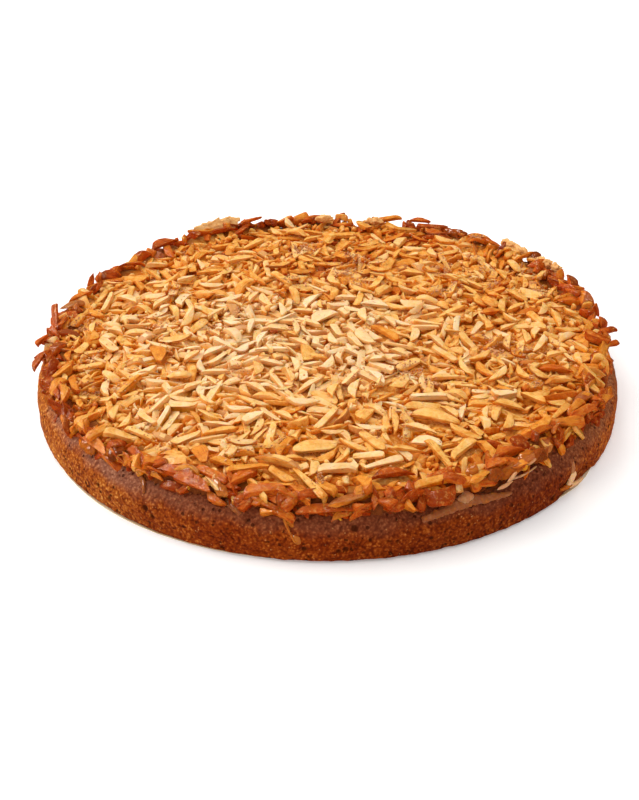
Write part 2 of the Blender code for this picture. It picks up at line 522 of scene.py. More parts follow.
def cakeMaterial():
    material, nodes, shader = newMaterial("bakedCake")
    place = nodes.coords()
    apart = nodes.add("ShaderNodeSeparateXYZ")
    nodes.link(place, apart.inputs[0])
    x, y, z = apart.outputs
    top = cakeHigh[2]
    band = nodes.swayed(z, nodes.noise(place, 60, 4), 0.014)
    # the left side, lit by the key lamp: painted light there, which also starts the dark crust higher up
    left = nodes.span(x, -tartRadius * 0.35, -tartRadius * 0.95)
    band = nodes.math("SUBTRACT", band, nodes.times(left, 0.0036))
    browned = nodes.span(band, top * 0.50, top * 0.80)
    # crumb: pale grains, and dark hollows between them that are partly painted shade
    grain = nodes.noise(place, 560, 3, 0.65)
    worm = nodes.span(nodes.cells(place, 1000, "SMOOTH_F1"), 0.75, 0.15)
    body = nodes.math("ADD", nodes.times(grain, 0.75), nodes.times(worm, 0.25))
    crumb = nodes.ramp(body, cake["crumb"])
    crumb = nodes.tint(crumb, nodes.span(nodes.noise(place, 45, 4), 0.62, 0.40), cake["patches"])
    color = nodes.mix(nodes.times(browned, 0.88), crumb, nodes.ramp(body, cake["crust"]))
    # painted light on the left, where the key lamp falls, a painted highlight on the right, and painted
    # shade at the front right, away from the key lamp
    color = nodes.tint(color, nodes.times(left, 0.9), cake["paintedLightLeft"])
    right = nodes.span(x, tartRadius * 0.60, tartRadius * 0.98, 0.0, 0.46)
    color = nodes.tint(color, right, cake["paintedHighlightRight"])
    sideways = nodes.math("SUBTRACT", nodes.times(x, 0.5), nodes.times(y, 0.87))
    frontRightShade = nodes.span(sideways, tartRadius * 0.86, tartRadius * 0.99, 0.0, 0.85)
    color = nodes.tint(color, frontRightShade, cake["paintedShadeFrontRight"])
    speck = nodes.span(nodes.cells(place, 620), 0.26, 0.12)
    chosen = nodes.span(nodes.noise(place, 380, 1), 0.58, 0.64)
    color = nodes.mix(nodes.times(nodes.times(speck, chosen), 0.4), color, cake["sugar"])
    # small round pinholes, and the hollows of the modelled pores, darkened with painted shade
    hole = nodes.span(nodes.cells(place, 340), 0.30, 0.16)
    hole = nodes.times(hole, nodes.span(nodes.noise(place, 210, 1), 0.50, 0.56))
    color = nodes.mix(nodes.times(hole, 0.85), color, cake["pinholeShade"])
    color = nodes.mix(nodes.span(nodes.attribute("pore"), 0.05, 0.5, 0.0, 0.85), color, cake["poreShade"])
    high = nodes.math("SUBTRACT", body, nodes.times(hole, 0.8))
    nodes.fill(shader, {
        "Base Color": color,
        "Roughness": nodes.span(browned, 0, 1, 0.75, 0.45),
        "Specular IOR Level": 0.08,
        "Specular Tint": (1.0, 0.6, 0.35),
        "Normal": nodes.bump(high, 0.9, 0.0009),
    })
    return material


kernel = {  # the almond that the slivers are cut from
    "length": 0.0190,
    "width": 0.0126,
    "thick": 0.0084,
    "blunt": 0.26,
    "around": 10,
    "rings": 7,
    "seams": (-0.0040, 0.0040),
    "edgeRound": 0.34,  # share of the sliver's thickness
    "softening": 3,
    "wobble": 0.00034,
    "wobbleSize": 0.0036,
    "curl": 0.0015,  # sideways bend of the middle
    "twist": 0.12,
    "rindFrom": 0.80,  # a face further out than this, in squared radii, is skin
    "sharp": 38,  # degrees: edges that bend more than this are rounded
    "variants": 5,  # of each kind
    "jitter": 0.20,  # how much the cuts move, and how much they tilt in degrees
    "tilt": 10,
}

# where each kind is cut from the kernel, in millimetres: across its thickness, its width and its
# length; then the slant of the cuts across its length in degrees, its bow in millimetres, how much
# its ends narrow, and how many there are
sliverKinds = {
    "longSticks": ((-1.3, 1.2), (-1.7, 1.8), (-12, 12), 30, 0.5, 0.30, 640),
    "halfMoons": ((-1.2, 1.1), (2.6, 8), (-12, 12), 20, 0.4, 0.20, 900),
    "domes": ((2.0, 6), (-2.3, 2.1), (-12, 12), 30, 0.6, 0.28, 420),
    "wedges": ((0.4, 6), (2.2, 8), (-12, 7.5), 35, 0.4, 0.24, 420),
    "broadSlices": ((-1.0, 0.9), (-0.5, 8), (-12, 6.5), 40, 0.8, 0.20, 90),
    "brokenSticks": ((-1.2, 1.2), (-1.8, 1.8), (-12, 0.8), 45, 0.2, 0.20, 430),
    "brokenMoons": ((-1.2, 1.1), (1.8, 8), (0.5, 12), 45, 0.3, 0.20, 430),
    "shavings": ((-0.5, 0.5), (-2.1, 2.1), (-12, 6.0), 35, 1.2, 0.40, 200),
    "splinters": ((-0.8, 0.7), (3.9, 8), (-12, 12), 40, 0.4, 0.30, 200),
    "bits": ((-1.1, 1.1), (-1.3, 1.3), (-1.9, 2.0), 40, 0.1, 0.15, 700),
}


def cutAway(obj, place, direction):
    # everything beyond the plane comes off, and the cut is closed
    editMode(obj)
    bpy.ops.mesh.select_all(action="SELECT")
    bpy.ops.mesh.bisect(plane_co=place, plane_no=direction, use_fill=True, clear_outer=True)
    objectMode()


def makeSliver(name, kind, chance):
    slant, bow, taper, count = kind[3:]
    deselectAll()
    bpy.ops.mesh.primitive_uv_sphere_add(segments=kernel["around"], ring_count=kernel["rings"], radius=1,
                                         rotation=(0, math.radians(90), 0))
    sliver = newPiece(name)
    settle(sliver)
    points = getPoints(sliver)
    points[:, 1:] *= (1 - kernel["blunt"] * points[:, :1])
    half = np.array([kernel["length"], kernel["width"], kernel["thick"]]) / 2
    setPoints(sliver, points * half)
    for seam in kernel["seams"]:
        editMode(sliver)
        bpy.ops.mesh.select_all(action="SELECT")
        bpy.ops.mesh.bisect(plane_co=(seam, 0, 0), plane_no=(1, 0, 0))
        objectMode()
    tilt = math.radians(kernel["tilt"])
    for axis, span in zip((2, 1, 0), kind):
        direction = Vector(np.eye(3)[axis])
        wide = (span[1] - span[0]) / 1000
        for side, limit in zip((-1, 1), span):
            if abs(limit) / 1000 >= half[axis]:
                continue
            place = direction * (limit / 1000 + chance.normal(0, kernel["jitter"]) * min(wide, 0.004) / 2)
            lean = Vector(chance.normal(0, math.tan(tilt), 3) * (0.25, 1, 1))
            if axis == 0:
                sideways = chance.uniform(-1, 1) * math.tan(math.radians(slant))
                lean = Vector((0, sideways, chance.normal(0, 0.3)))
            cutAway(sliver, place, (direction + lean) * side)
    applyModifier(sliver, "BEVEL", width=min(sliver.dimensions) * kernel["edgeRound"], segments=2,
                  limit_method="ANGLE", angle_limit=math.radians(kernel["sharp"]))
    applyModifier(sliver, "SMOOTH", factor=0.5, iterations=kernel["softening"])
    sliver.data.shade_smooth()
    points = getPoints(sliver)
    wobble = [lumps(points, kernel["wobbleSize"], chance.uniform(0, 50)) for axis in range(3)]
    setPoints(sliver, points + np.stack(wobble, 1) * kernel["wobble"])
    points = getPoints(sliver)
    # the brown outside of the kernel, against its pale cut faces
    shape = np.array([1, 1, 1]) / half
    rind = []
    for face in sliver.data.polygons:
        center = np.array(face.center) * shape
        center[1:] /= 1 - kernel["blunt"] * center[0]
        rind.append(float(np.sum(center ** 2) > kernel["rindFrom"]))
    layer = sliver.data.attributes.new("rind", "FLOAT", "FACE")
    layer.data.foreach_set("value", rind)
    # where each point was in the kernel, for its grain
    grain = sliver.data.attributes.new("grainPlace", "FLOAT_VECTOR", "POINT")
    grain.data.foreach_set("vector", (points * 1000).astype(np.float32).ravel())
    low = points.min(axis=0)
    high = points.max(axis=0)
    points -= (low + high) / 2
    along = points[:, 0] / ((high[0] - low[0]) / 2)
    # the ends narrow, each in its own way
    for end in (-1, 1):
        share = np.clip(end * along, 0, 1) ** chance.uniform(2.0, 4.0)
        narrow = taper * chance.uniform(0.6, 1.2) * share
        aside = chance.uniform(-0.8, 0.8) * (high[1] - low[1]) / 2
        points[:, 1] = points[:, 1] * (1 - narrow) + aside * narrow
        points[:, 2] *= 1 - 0.6 * narrow
    points[:, 2] += bow / 1000 * chance.uniform(0.3, 1.3) * (1 - along ** 2)
    points[:, 1] += chance.normal(0, kernel["curl"]) * (1 - along ** 2)
    twist = chance.normal(0, kernel["twist"]) * along
    y = points[:, 1].copy()
    points[:, 1] = y * np.cos(twist) - points[:, 2] * np.sin(twist)
    points[:, 2] = y * np.sin(twist) + points[:, 2] * np.cos(twist)
    points[:, 2] -= points[:, 2].min()
    setPoints(sliver, points)
    setValues(sliver.data, "toast", 0)
    setValues(sliver.data, "tint", 0)
    return sliver


heap = {  # how high the almonds stand, and how they lie
    "cell": 0.0005,  # of the height map
    "margin": 0.006,  # of the height map round the cake
    "middleTop": 0.0305,
    "rimTop": 0.0256,
    "unevenHeight": 0.0009,
    "unevenSize": 0.020,
    "edgeWidth": 0.0032,  # over which the heap falls away at its edge
    "start": 0.0048,  # how far under its top the filling of slivers begins
    "stretch": ((0.58, 0.98), (0.70, 1.05), (0.95, 1.35)),  # of each sliver's length, width and thickness
    "reach": 0.1225,  # furthest middle of a sliver
    "outermost": 0.1290,
    "tries": 6,  # spots that are compared before a sliver is laid down on one
    "attempts": 6,  # how often that is done before it is left out
    "proud": 0.0018,  # how far a sliver may stand above the heap's top
    "prouder": {"wild": 0.0010, "rim": 0.0010, "later": -0.0008},
    "steepest": 20,  # degrees
    "steeper": {"wild": 15, "rim": 10},
    "wild": 0.05,  # share of slivers that stand up more than the rest
    "turnedOver": 0.5,
    "rimFrom": 0.80,  # in radii of the tart
    "rimWidth": 0.12,
    # kinds that mostly come last
    "later": {"brokenSticks": 0.5, "brokenMoons": 0.4, "shavings": 0.5, "splinters": 0.6, "bits": 0.9},
    "sink": 0.0004,  # how far slivers settle into what they lie on
    "dents": 9,  # points of what lies under a sliver that may stand into it
    # where its rim stands higher or lower: direction, half width, by how much
    "rimChanges": (
        (44, 34, 0.0037), (53, 9, 0.0014), (74, 9, 0.0015),
        (116, 9, 0.0034), (130, 8, 0.0018), (148, 12, -0.0010),
    ),
    "changeFrom": 0.80,  # in radii of the tart
    "changeWidth": 0.13,
    "pulledIn": ((347, 18, 0.0006),),  # where its outline lies further in, in the same way
    "seed": 21,
}


class HeapMap:
    # the height of what lies under each point, which rises as slivers are laid down
    def __init__(self, body):
        self.half = tartRadius + heap["margin"]
        self.cell = heap["cell"]
        self.side = int(2 * self.half / self.cell) + 1
        steps = np.arange(self.side) * self.cell - self.half
        self.x, self.y = np.meshgrid(steps, steps)
        self.radius = np.hypot(self.x, self.y)
        # the cake's top is round, so one line of heights gives it all
        tree = BVHTree.FromObject(body, bpy.context.evaluated_depsgraph_get())
        line = np.arange(0, self.half, self.cell)
        heights = []
        for radius in line:
            hit = tree.ray_cast(Vector((radius, 0, 0.1)), Vector((0, 0, -1)))[0]
            heights.append(hit.z if hit else -0.02)
        self.cake = np.interp(self.radius, line, heights)
        full = wantedTop(self.x, self.y) - self.cake
        self.height = self.cake + np.maximum(0, full * edgeShare(self.x, self.y) - heap["start"])
        self.top = self.cake + full * edgeShare(self.x, self.y)
        self.claimed = np.zeros_like(self.height)

    def index(self, value):
        return np.clip(((np.asarray(value) + self.half) / self.cell + 0.5).astype(int), 0, self.side - 1)

    def at(self, x, y, layer=None):
        layer = self.height if layer is None else layer
        return layer[self.index(y), self.index(x)]


def softNoise(x, y, size, seed):
    # smooth lumps over the plan, from a few crossing waves
    total = np.zeros_like(x)
    chance = np.random.default_rng(seed)
    for wave in range(9):
        angle = chance.uniform(0, 2 * math.pi)
        length = chance.uniform(0.7, 1.6) * size
        phase = chance.uniform(0, 2 * math.pi)
        total += np.sin((x * math.cos(angle) + y * math.sin(angle)) * 2 * math.pi / length + phase)
    return total / 3


def heapEdge():
    # the heap's outline as the CAD topping has it, one radius for every 3 degrees
    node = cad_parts["almond_topping"]
    points = getPoints(node)
    degrees = np.degrees(np.arctan2(points[:, 1], points[:, 0])) % 360
    radius = np.hypot(points[:, 0], points[:, 1])
    outline = []
    for step in range(120):
        outline.append(radius[awayFrom(degrees, 3 * step) < 2.6].max())
        for direction, halfWidth, amount in heap["pulledIn"]:
            outline[-1] -= amount * float(smooth(1 - awayFrom(3 * step, direction) / halfWidth))
    return np.array(outline)


edgeRadius = heapEdge()


def edgeAt(x, y):
    degrees = np.degrees(np.arctan2(y, x)) % 360
    return np.interp(degrees / 3, np.arange(121) + 0.0, np.append(edgeRadius, edgeRadius[0]))


def edgeShare(x, y, further=0.0):
    # 0 outside the heap, 1 where it has its whole height
    gap = (edgeAt(x, y) + further - np.hypot(x, y)) / heap["edgeWidth"]
    share = np.clip(gap, 0, 1)
    return np.sqrt(1 - (1 - share) ** 2)


def wantedTop(x, y):
    share = np.hypot(x, y) / tartRadius
    top = heap["middleTop"] - (heap["middleTop"] - heap["rimTop"]) * share ** 2.5
    top = top + heap["unevenHeight"] * softNoise(x, y, heap["unevenSize"], 3)
    degrees = np.degrees(np.arctan2(y, x)) % 360
    for direction, halfWidth, rise in heap["rimChanges"]:
        away = awayFrom(degrees, direction) / halfWidth
        top = top + rise * smooth(1 - away) * smooth((share - heap["changeFrom"]) / heap["changeWidth"])
    return top


def restingSlope(places, heights):
    # the slope of a bar that rests on these heights and balances at 0
    best = -1.0
    slope = 0.0
    left = np.flatnonzero(places < -1e-6)
    right = np.flatnonzero(places > 1e-6)
    for i in left:
        spans = places[right] - places[i]
        values = (heights[i] * places[right] - heights[right] * places[i]) / spans
        j = int(np.argmax(values))
        if values[j] > best:
            best = values[j]
            slope = (heights[right[j]] - heights[i]) / spans[j]
    return slope


def layDown(heapMap, x, y, turn, size, steepest, proud):
    # where a sliver comes to rest; nothing if it would stand too proud
    length, width, thick = size
    us = np.linspace(-0.46, 0.46, 11) * length  # the points where it feels what is under it
    vs = np.linspace(-0.42, 0.42, 5) * width
    u, v = np.meshgrid(us, vs, indexing="ij")
    c, s = math.cos(turn), math.sin(turn)
    xs = x + u * c - v * s
    ys = y + u * s + v * c
    heights = heapMap.at(xs, ys)
    limit = math.tan(math.radians(steepest))
    pitch = restingSlope(us, heights.max(axis=1))
    roll = restingSlope(vs, (heights - pitch * u).max(axis=0))
    pitch = min(max(pitch, -limit), limit)
    roll = min(max(roll, -1.5 * limit), 1.5 * limit)
    lift = np.sort((heights - pitch * u - roll * v).ravel())[-heap["dents"]] - heap["sink"]
    over = lift + pitch * u + roll * v + thick - heapMap.at(xs, ys, heapMap.top)
    if over.max() > proud:
        return None
    return putDown(heapMap, x, y, turn, size, lift, pitch, roll)


def turned(along, up, place):
    # the matrix for a sliver that lies along one direction and faces another
    matrix = Matrix((along, up.cross(along), up)).transposed().to_4x4()
    matrix.translation = place
    return matrix


def putDown(heapMap, x, y, turn, size, lift, pitch, roll):
    # the sliver's place, after the height map has risen by it
    along = Vector((math.cos(turn), math.sin(turn), pitch)).normalized()
    across = Vector((-math.sin(turn), math.cos(turn), roll))
    matrix = turned(along, along.cross(across).normalized(), (x, y, lift))
    cover(heapMap, matrix, size)
    return matrix


def cover(heapMap, matrix, size, claim=False):
    # raises the height map over a sliver that is in place
    length, width, thick = size
    along, across, up = (matrix.col[axis].to_3d() for axis in range(3))
    x, y, z = matrix.translation
    reach = math.hypot(length, width) / 2
    low = heapMap.index(np.array([x - reach, y - reach]))
    high = heapMap.index(np.array([x + reach, y + reach])) + 1
    block = np.s_[low[1]:high[1], low[0]:high[0]]
    px = heapMap.x[block] - x
    py = heapMap.y[block] - y
    pz = -(px * up.x + py * up.y) / up.z
    pu = px * along.x + py * along.y + pz * along.z
    pv = px * across.x + py * across.y + pz * across.z
    narrower = 1 - 0.5 * (2 * pu / length) ** 2
    inside = (np.abs(pu) < length * 0.48) & (np.abs(pv) < width * 0.47 * narrower)
    back = z + pz + thick * 0.88 / up.z
    height = heapMap.height[block]
    height[inside] = np.maximum(height[inside], back[inside])
    if claim:
        heapMap.claimed[block][inside] = 1


def pickSpot(heapMap, chance, count):
    # of a few spots, the one that lies furthest under the wanted height
    radius = heap["reach"] * np.sqrt(chance.random(count))
    angle = chance.random(count) * 2 * math.pi
    xs = radius * np.cos(angle)
    ys = radius * np.sin(angle)
    step = 0.0012
    here = sum(heapMap.at(xs + dx, ys + dy) for dx in (-step, step) for dy in (-step, step)) / 4
    best = int(np.argmax(heapMap.at(xs, ys, heapMap.top) - here))
    return xs[best], ys[best]


toasting = {
    "all": 0.375,
    "rim": 0.24,
    "most": 0.86,
    "rimStart": 0.76,  # in radii of the tart, as outermostStart is
    "outermost": 0.30,
    "outermostStart": 0.915,
    "outermostWidth": 0.035,
    "patches": 0.12,
    "patchSize": 0.03,
    "each": 0.11,
    # places that are browner or paler: x, y and size in radii of the tart, and how much
    "places": (
        (0.0, 0.0, 0.35, -0.18),
        (-0.42, 0.0, 0.40, -0.14),
        (-0.35, -0.50, 0.42, -0.09),
        (0.05, -0.45, 0.40, -0.04),
        (0.02, 0.60, 0.42, 0.20),
        (0.0, 0.97, 0.25, -0.16),
        (0.68, 0.66, 0.20, -0.06),
        (0.94, 0.0, 0.20, -0.06),
        (-0.65, 0.65, 0.25, 0.04),
        (-0.80, -0.50, 0.20, 0.10),
        (0.50, 0.10, 0.40, 0.05),
        (0.05, -1.0, 0.50, 0.10),
        (0.64, -0.70, 0.25, 0.08),
        (-1.0, 0.05, 0.20, 0.08),
        (0.86, -0.45, 0.18, 0.12),
    ),
}


def toastAt(x, y, chance):
    # 0 is barely coloured, 1 is nearly burnt
    radius = math.hypot(x, y) / tartRadius
    value = toasting["all"]
    value += toasting["rim"] * float(smooth((radius - toasting["rimStart"]) / (1 - toasting["rimStart"])))
    last = (radius - toasting["outermostStart"]) / toasting["outermostWidth"]
    value += toasting["outermost"] * float(smooth(last))
    for placeX, placeY, size, amount in toasting["places"]:
        away = math.hypot(x / tartRadius - placeX, y / tartRadius - placeY)
        value += amount * math.exp(-(away / size) ** 2)
    size = toasting["patchSize"]
    value += toasting["patches"] * noise.noise(Vector((x / size, y / size, 8.0)))
    return min(value + chance.normal(0, toasting["each"]), toasting["most"])


def pickShape(shapes, names, chance):
    name = str(chance.choice(names))
    shape = shapes[name][int(chance.integers(kernel["variants"]))]
    stretch = np.array([chance.uniform(*span) for span in heap["stretch"]])
    return name, shape, stretch, np.array(shape.dimensions) * stretch


buried = {  # slivers that mostly lie under the others
    "count": 1250,
    "kinds": ("longSticks", "halfMoons", "halfMoons", "brokenSticks", "brokenMoons", "splinters", "wedges"),
    "reach": 0.118,
    "under": (0.0004, 0.0026),  # how far their tops lie below the heap's
    "tilt": 7,
}


def fillIn(heapMap, copies, picked, spot, top, layer, chance):
    # puts a sliver a little under a height, nearly flat
    name, shape, stretch, size = picked
    pitch, roll = chance.normal(0, math.tan(math.radians(layer["tilt"])), 2)
    lift = top - chance.uniform(*layer["under"]) - size[2]
    matrix = putDown(heapMap, *spot, chance.uniform(0, 2 * math.pi), size, lift, pitch, roll)
    matrix = matrix @ Matrix.Diagonal((*stretch, 1))
    copies[name].append((shape, matrix, toastAt(*spot, chance), chance.random()))


def lowSlivers(heapMap, shapes, copies, chance):
    for number in range(buried["count"]):
        picked = pickShape(shapes, buried["kinds"], chance)
        radius = buried["reach"] * math.sqrt(chance.random())
        angle = chance.uniform(0, 2 * math.pi)
        spot = radius * math.cos(angle), radius * math.sin(angle)
        fillIn(heapMap, copies, picked, spot, float(wantedTop(*spot)), buried, chance)


gaps = {  # slivers that close what is still open between the others
    "count": 1000,
    "kinds": ("brokenSticks", "brokenMoons", "wedges", "halfMoons", "bits", "longSticks"),
    "tries": 14,
    "least": 0.0011,  # how far open a gap is that gets one
    "under": (-0.0003, 0.0011),
    "tilt": 9,
}


def gapSlivers(heapMap, shapes, copies, chance):
    placed = 0
    for number in range(gaps["count"]):
        picked = pickShape(shapes, gaps["kinds"], chance)
        spot = pickSpot(heapMap, chance, gaps["tries"])
        top = float(heapMap.at(*spot, heapMap.top))
        if top - float(heapMap.at(*spot)) < gaps["least"]:
            continue
        fillIn(heapMap, copies, picked, spot, top, gaps, chance)
        placed += 1
    print("gaps closed:", placed)


def leanOut(out, middle, along, slump):
    # the turn of a sliver at the heap's edge, slumped outwards round the line that it lies along
    up = out * math.sin(slump) + Vector((0, 0, math.cos(slump)))
    return turned(along, (up - along * up.dot(along)).normalized(), middle)


def laidBetween(start, end, slump):
    # the place of what lies between two points in millimetres, and its length
    start = Vector(start) / 1000
    end = Vector(end) / 1000
    middle = (start + end) / 2
    out = Vector((middle.x, middle.y, 0)).normalized()
    return leanOut(out, middle, (end - start).normalized(), math.radians(slump)), (end - start).length


# single almonds that stand out: kind, the two ends in millimetres, slump in degrees, width and
# thickness in millimetres, and toasting
showpieces = (
    ("halfMoons", (-65, -97, 27), (-52, -101, 28), 5, 5.0, 2.8, 0.50),
    ("broadSlices", (-52, -92, 28), (-46, -103, 28), 40, 6.0, 1.8, 0.66),
    ("halfMoons", (-45, -101, 28), (-35, -104, 28), 5, 4.2, 2.2, 0.60),
    ("wedges", (-36, -97, 28), (-27, -97, 28), 5, 4.6, 2.6, 0.54),
    ("wedges", (-27, -99, 29), (-9, -109, 29), 5, 6.2, 3.2, 0.44),
    ("broadSlices", (-14, -94, 29), (4, -90, 29), 8, 6.4, 3.2, 0.40),
    ("halfMoons", (-61, -107, 26), (-49, -103, 28), 5, 5.0, 2.4, 0.50),
    ("halfMoons", (-58, -109, 26), (-43, -116, 26), 34, 5.6, 3.6, 0.80),
    ("longSticks", (-50, -105, 27), (-38, -115, 27), 5, 3.6, 2.6, 0.72),
    ("halfMoons", (-37, -116, 27), (-28, -108, 28), 5, 5.4, 2.8, 0.76),
    ("wedges", (-30, -118, 27), (-23, -112, 27), 5, 5.0, 2.6, 0.55),
    ("longSticks", (-39, -108, 27), (-22, -106, 28), 5, 4.2, 2.2, 0.60),
    ("wedges", (-23, -121, 25), (-13, -117, 27), 44, 7.6, 3.4, 0.70),
    ("shavings", (-22, -106, 28), (-13, -115, 27), 5, 4.0, 1.5, 0.52),
    ("halfMoons", (-14, -117, 27), (-5, -124, 25), 7, 5.4, 3.4, 0.70),
    ("longSticks", (-13, -107, 28), (-1, -126, 28), 5, 3.8, 2.6, 0.47),
    ("wedges", (-1, -124, 25), (14, -118, 27), 6, 5.6, 3.0, 0.60),
    ("halfMoons", (-12, -125, 21), (7, -125, 24), 44, 4.2, 2.4, 0.80),
    ("halfMoons", (1, -126, 18), (11, -125, 21), 50, 3.6, 2.0, 0.66),
    ("longSticks", (-4, -108, 28), (11, -108, 28), 5, 4.2, 2.8, 0.22),
    ("longSticks", (14, -107, 28), (29, -100, 28), 5, 3.8, 2.4, 0.16),
    ("halfMoons", (16, -113, 28), (33, -109, 28), 5, 6.0, 3.0, 0.82),
    ("domes", (20, -123, 22), (30, -120, 25), 48, 7.4, 4.2, 0.76),
    ("domes", (36, -120, 23), (49, -116, 25), 44, 7.4, 5.0, 0.80),
    ("longSticks", (32, -118, 27), (47, -113, 27), 10, 4.0, 2.6, 0.56),
    ("longSticks", (49, -109, 27), (50, -115, 22), 30, 3.4, 2.2, 0.30),
    ("wedges", (52, -112, 26), (61, -103, 27), 5, 4.8, 3.0, 0.50),
    ("longSticks", (59, -89, 28), (65, -101, 27), 5, 4.2, 2.8, 0.58),
    ("domes", (73, -86, 29), (79, -93, 28), 12, 6.4, 4.0, 0.84),
    ("longSticks", (72, -91, 27), (89, -81, 30), 35, 4.0, 2.0, 0.74),
    ("wedges", (73, -86, 28), (88, -71, 30), 5, 6.0, 3.4, 0.50),
    ("longSticks", (80, -91, 27), (88, -91, 17), 40, 4.0, 2.0, 0.46),
    ("longSticks", (90, -82, 26), (94, -83, 17), 40, 3.8, 2.2, 0.52),
    ("longSticks", (99, -76, 26), (104, -71, 18), 20, 4.4, 2.6, 0.40),
    ("longSticks", (98, -72, 27), (110, -63, 27), 34, 5.2, 3.0, 0.74),
    ("longSticks", (91, -71, 27), (99, -60, 27), 5, 4.0, 2.6, 0.50),
    ("longSticks", (39, -90, 29), (47, -107, 27), 5, 4.0, 2.6, 0.48),
    ("longSticks", (48, -101, 28), (58, -88, 28), 5, 4.2, 2.4, 0.42),
    ("broadSlices", (34, -70, 30), (53, -77, 29), 8, 6.0, 3.2, 0.44),
    ("broadSlices", (33, -89, 29), (45, -91, 28), 8, 5.4, 2.6, 0.14),
    ("halfMoons", (29, -79, 29), (44, -84, 29), 5, 4.0, 2.4, 0.30),
    ("longSticks", (-105, -70, 18), (-97, -72, 27), 46, 3.4, 2.6, 0.62),
    ("halfMoons", (-97, -78, 23), (-86, -90, 25), 46, 5.0, 2.8, 0.70),
    ("domes", (-87, -89, 26), (-79, -86, 27), 5, 5.0, 3.2, 0.78),
    ("wedges", (-80, -96, 23), (-69, -95, 27), 21, 5.4, 2.8, 0.60),
    ("halfMoons", (-74, -101, 23), (-62, -108, 24), 46, 4.4, 2.8, 0.64),
    ("longSticks", (-80, -80, 28), (-69, -88, 28), 5, 3.8, 2.4, 0.36),
    ("domes", (102, -59, 27), (110, -49, 27), 5, 5.0, 3.2, 0.62),
    ("wedges", (108, -46, 27), (119, -33, 26), 5, 5.0, 2.6, 0.58),
    ("halfMoons", (112, -56, 24), (119, -45, 23), 46, 4.4, 2.4, 0.66),
    ("halfMoons", (-127, -28, 23), (-124, -17, 27), 20, 4.6, 2.8, 0.84),
    ("longSticks", (-129, -10, 26), (-124, -6, 29), 10, 3.6, 2.6, 0.80),
    ("brokenMoons", (-128, -19, 24), (-122, -15, 27), 20, 4.2, 2.8, 0.86),
    ("longSticks", (-123, 6, 25), (-124, 15, 34), 30, 3.4, 2.4, 0.82),
    ("longSticks", (-120, -40, 24), (-111, -54, 26), 20, 3.6, 2.6, 0.84),
    ("halfMoons", (-121, 28, 27), (-111, 37, 29), 10, 4.4, 2.6, 0.74),
    ("wedges", (-111, 40, 27), (-109, 45, 31), 20, 4.0, 2.6, 0.80),
    ("broadSlices", (-102, 63, 29), (-89, 65, 29), 0, 6.0, 2.2, 0.82),
    ("halfMoons", (-89, 82, 29), (-76, 92, 30), -25, 5.4, 2.8, 0.86),
    ("wedges", (-62, 101, 29), (-46, 106, 30), -10, 4.6, 2.8, 0.86),
    ("wedges", (-49, 101, 29), (-42, 108, 32), 0, 5.0, 2.8, 0.84),
    ("longSticks", (-45, 110, 30), (-34, 114, 32), 0, 3.0, 2.2, 0.80),
    ("brokenMoons", (-23, 114, 31), (-16, 111, 28), -20, 4.4, 2.4, 0.18),
    ("halfMoons", (-14, 118, 28), (3, 121, 29), -10, 4.8, 2.6, 0.76),
    ("longSticks", (23, 117, 28), (39, 118, 30), 0, 3.6, 2.4, 0.62),
    ("halfMoons", (42, 115, 29), (54, 114, 30), 0, 4.4, 2.6, 0.78),
    ("halfMoons", (70, 98, 29), (84, 91, 30), 10, 5.0, 3.4, 0.64),
    ("wedges", (78, 91, 31), (88, 84, 31), 10, 4.6, 3.0, 0.70),
    ("domes", (116, 43, 26), (116, 46, 33), 10, 5.0, 3.8, 0.76),
    ("longSticks", (112, 50, 27), (113, 54, 32), 10, 3.6, 2.6, 0.62),
    ("longSticks", (112, 37, 30), (119, 31, 30), 20, 3.4, 2.6, 0.80),
    ("wedges", (119, 29, 25), (120, 33, 30), 15, 4.2, 2.8, 0.72),
    ("brokenMoons", (124, 20, 25), (125, 19, 31), 15, 4.2, 2.8, 0.78),
    ("domes", (124, 8, 24), (125, 9, 30), 15, 4.6, 3.0, 0.72),
    ("longSticks", (122, 1, 26), (131, 5, 26), 10, 3.2, 2.4, 0.84),
    ("longSticks", (121, -9, 25), (130, -5, 25), 10, 3.2, 2.4, 0.80),
    ("broadSlices", (118, -17, 27), (125, -18, 22), 40, 6.0, 2.2, 0.78),
    ("wedges", (90, -32, 29), (105, -31, 28), 4, 6.6, 3.4, 0.66),
    ("halfMoons", (94, -25, 29), (104, -19, 28), 4, 3.6, 2.4, 0.36),
    ("longSticks", (57, -6, 30), (60, 10, 30), 4, 3.8, 2.6, 0.06),
    ("longSticks", (64, -7, 30), (69, 4, 30), 4, 3.6, 2.6, 0.22),
    ("broadSlices", (-76, -16, 30), (-71, -31, 30), 14, 6.4, 2.2, 0.62),
    ("longSticks", (20, -1, 31), (31, -14, 31), 6, 3.8, 2.8, 0.62),
    ("halfMoons", (16, -124, 22), (24, -117, 27), 48, 4.8, 2.8, 0.74),
    ("halfMoons", (60, -106, 27), (69, -101, 29), 20, 4.8, 2.8, 0.78),
    ("wedges", (69, -103, 27), (79, -96, 29), 15, 4.8, 3.0, 0.66),
    ("longSticks", (52, -108, 25), (53, -104, 31), 20, 3.0, 2.4, 0.34),
    ("bits", (-26, -4, 30), (-22, -5, 30), 10, 2.6, 1.8, 1.00),
)


def placeShowpieces(heapMap, shapes, copies, chance):
    for number, (name, start, end, slump, width, thick, toast) in enumerate(showpieces):
        matrix, length = laidBetween(start, end, slump)
        matrix.translation -= matrix.col[2].to_3d() * thick / 2000
        shape = shapes[name][number % kernel["variants"]]
        size = np.array((length, width / 1000, thick / 1000))
        stretch = Matrix.Diagonal((*(size / shape.dimensions), 1))
        copies[name].append((shape, matrix @ stretch, toast, chance.random()))
        cover(heapMap, matrix, size, claim=True)


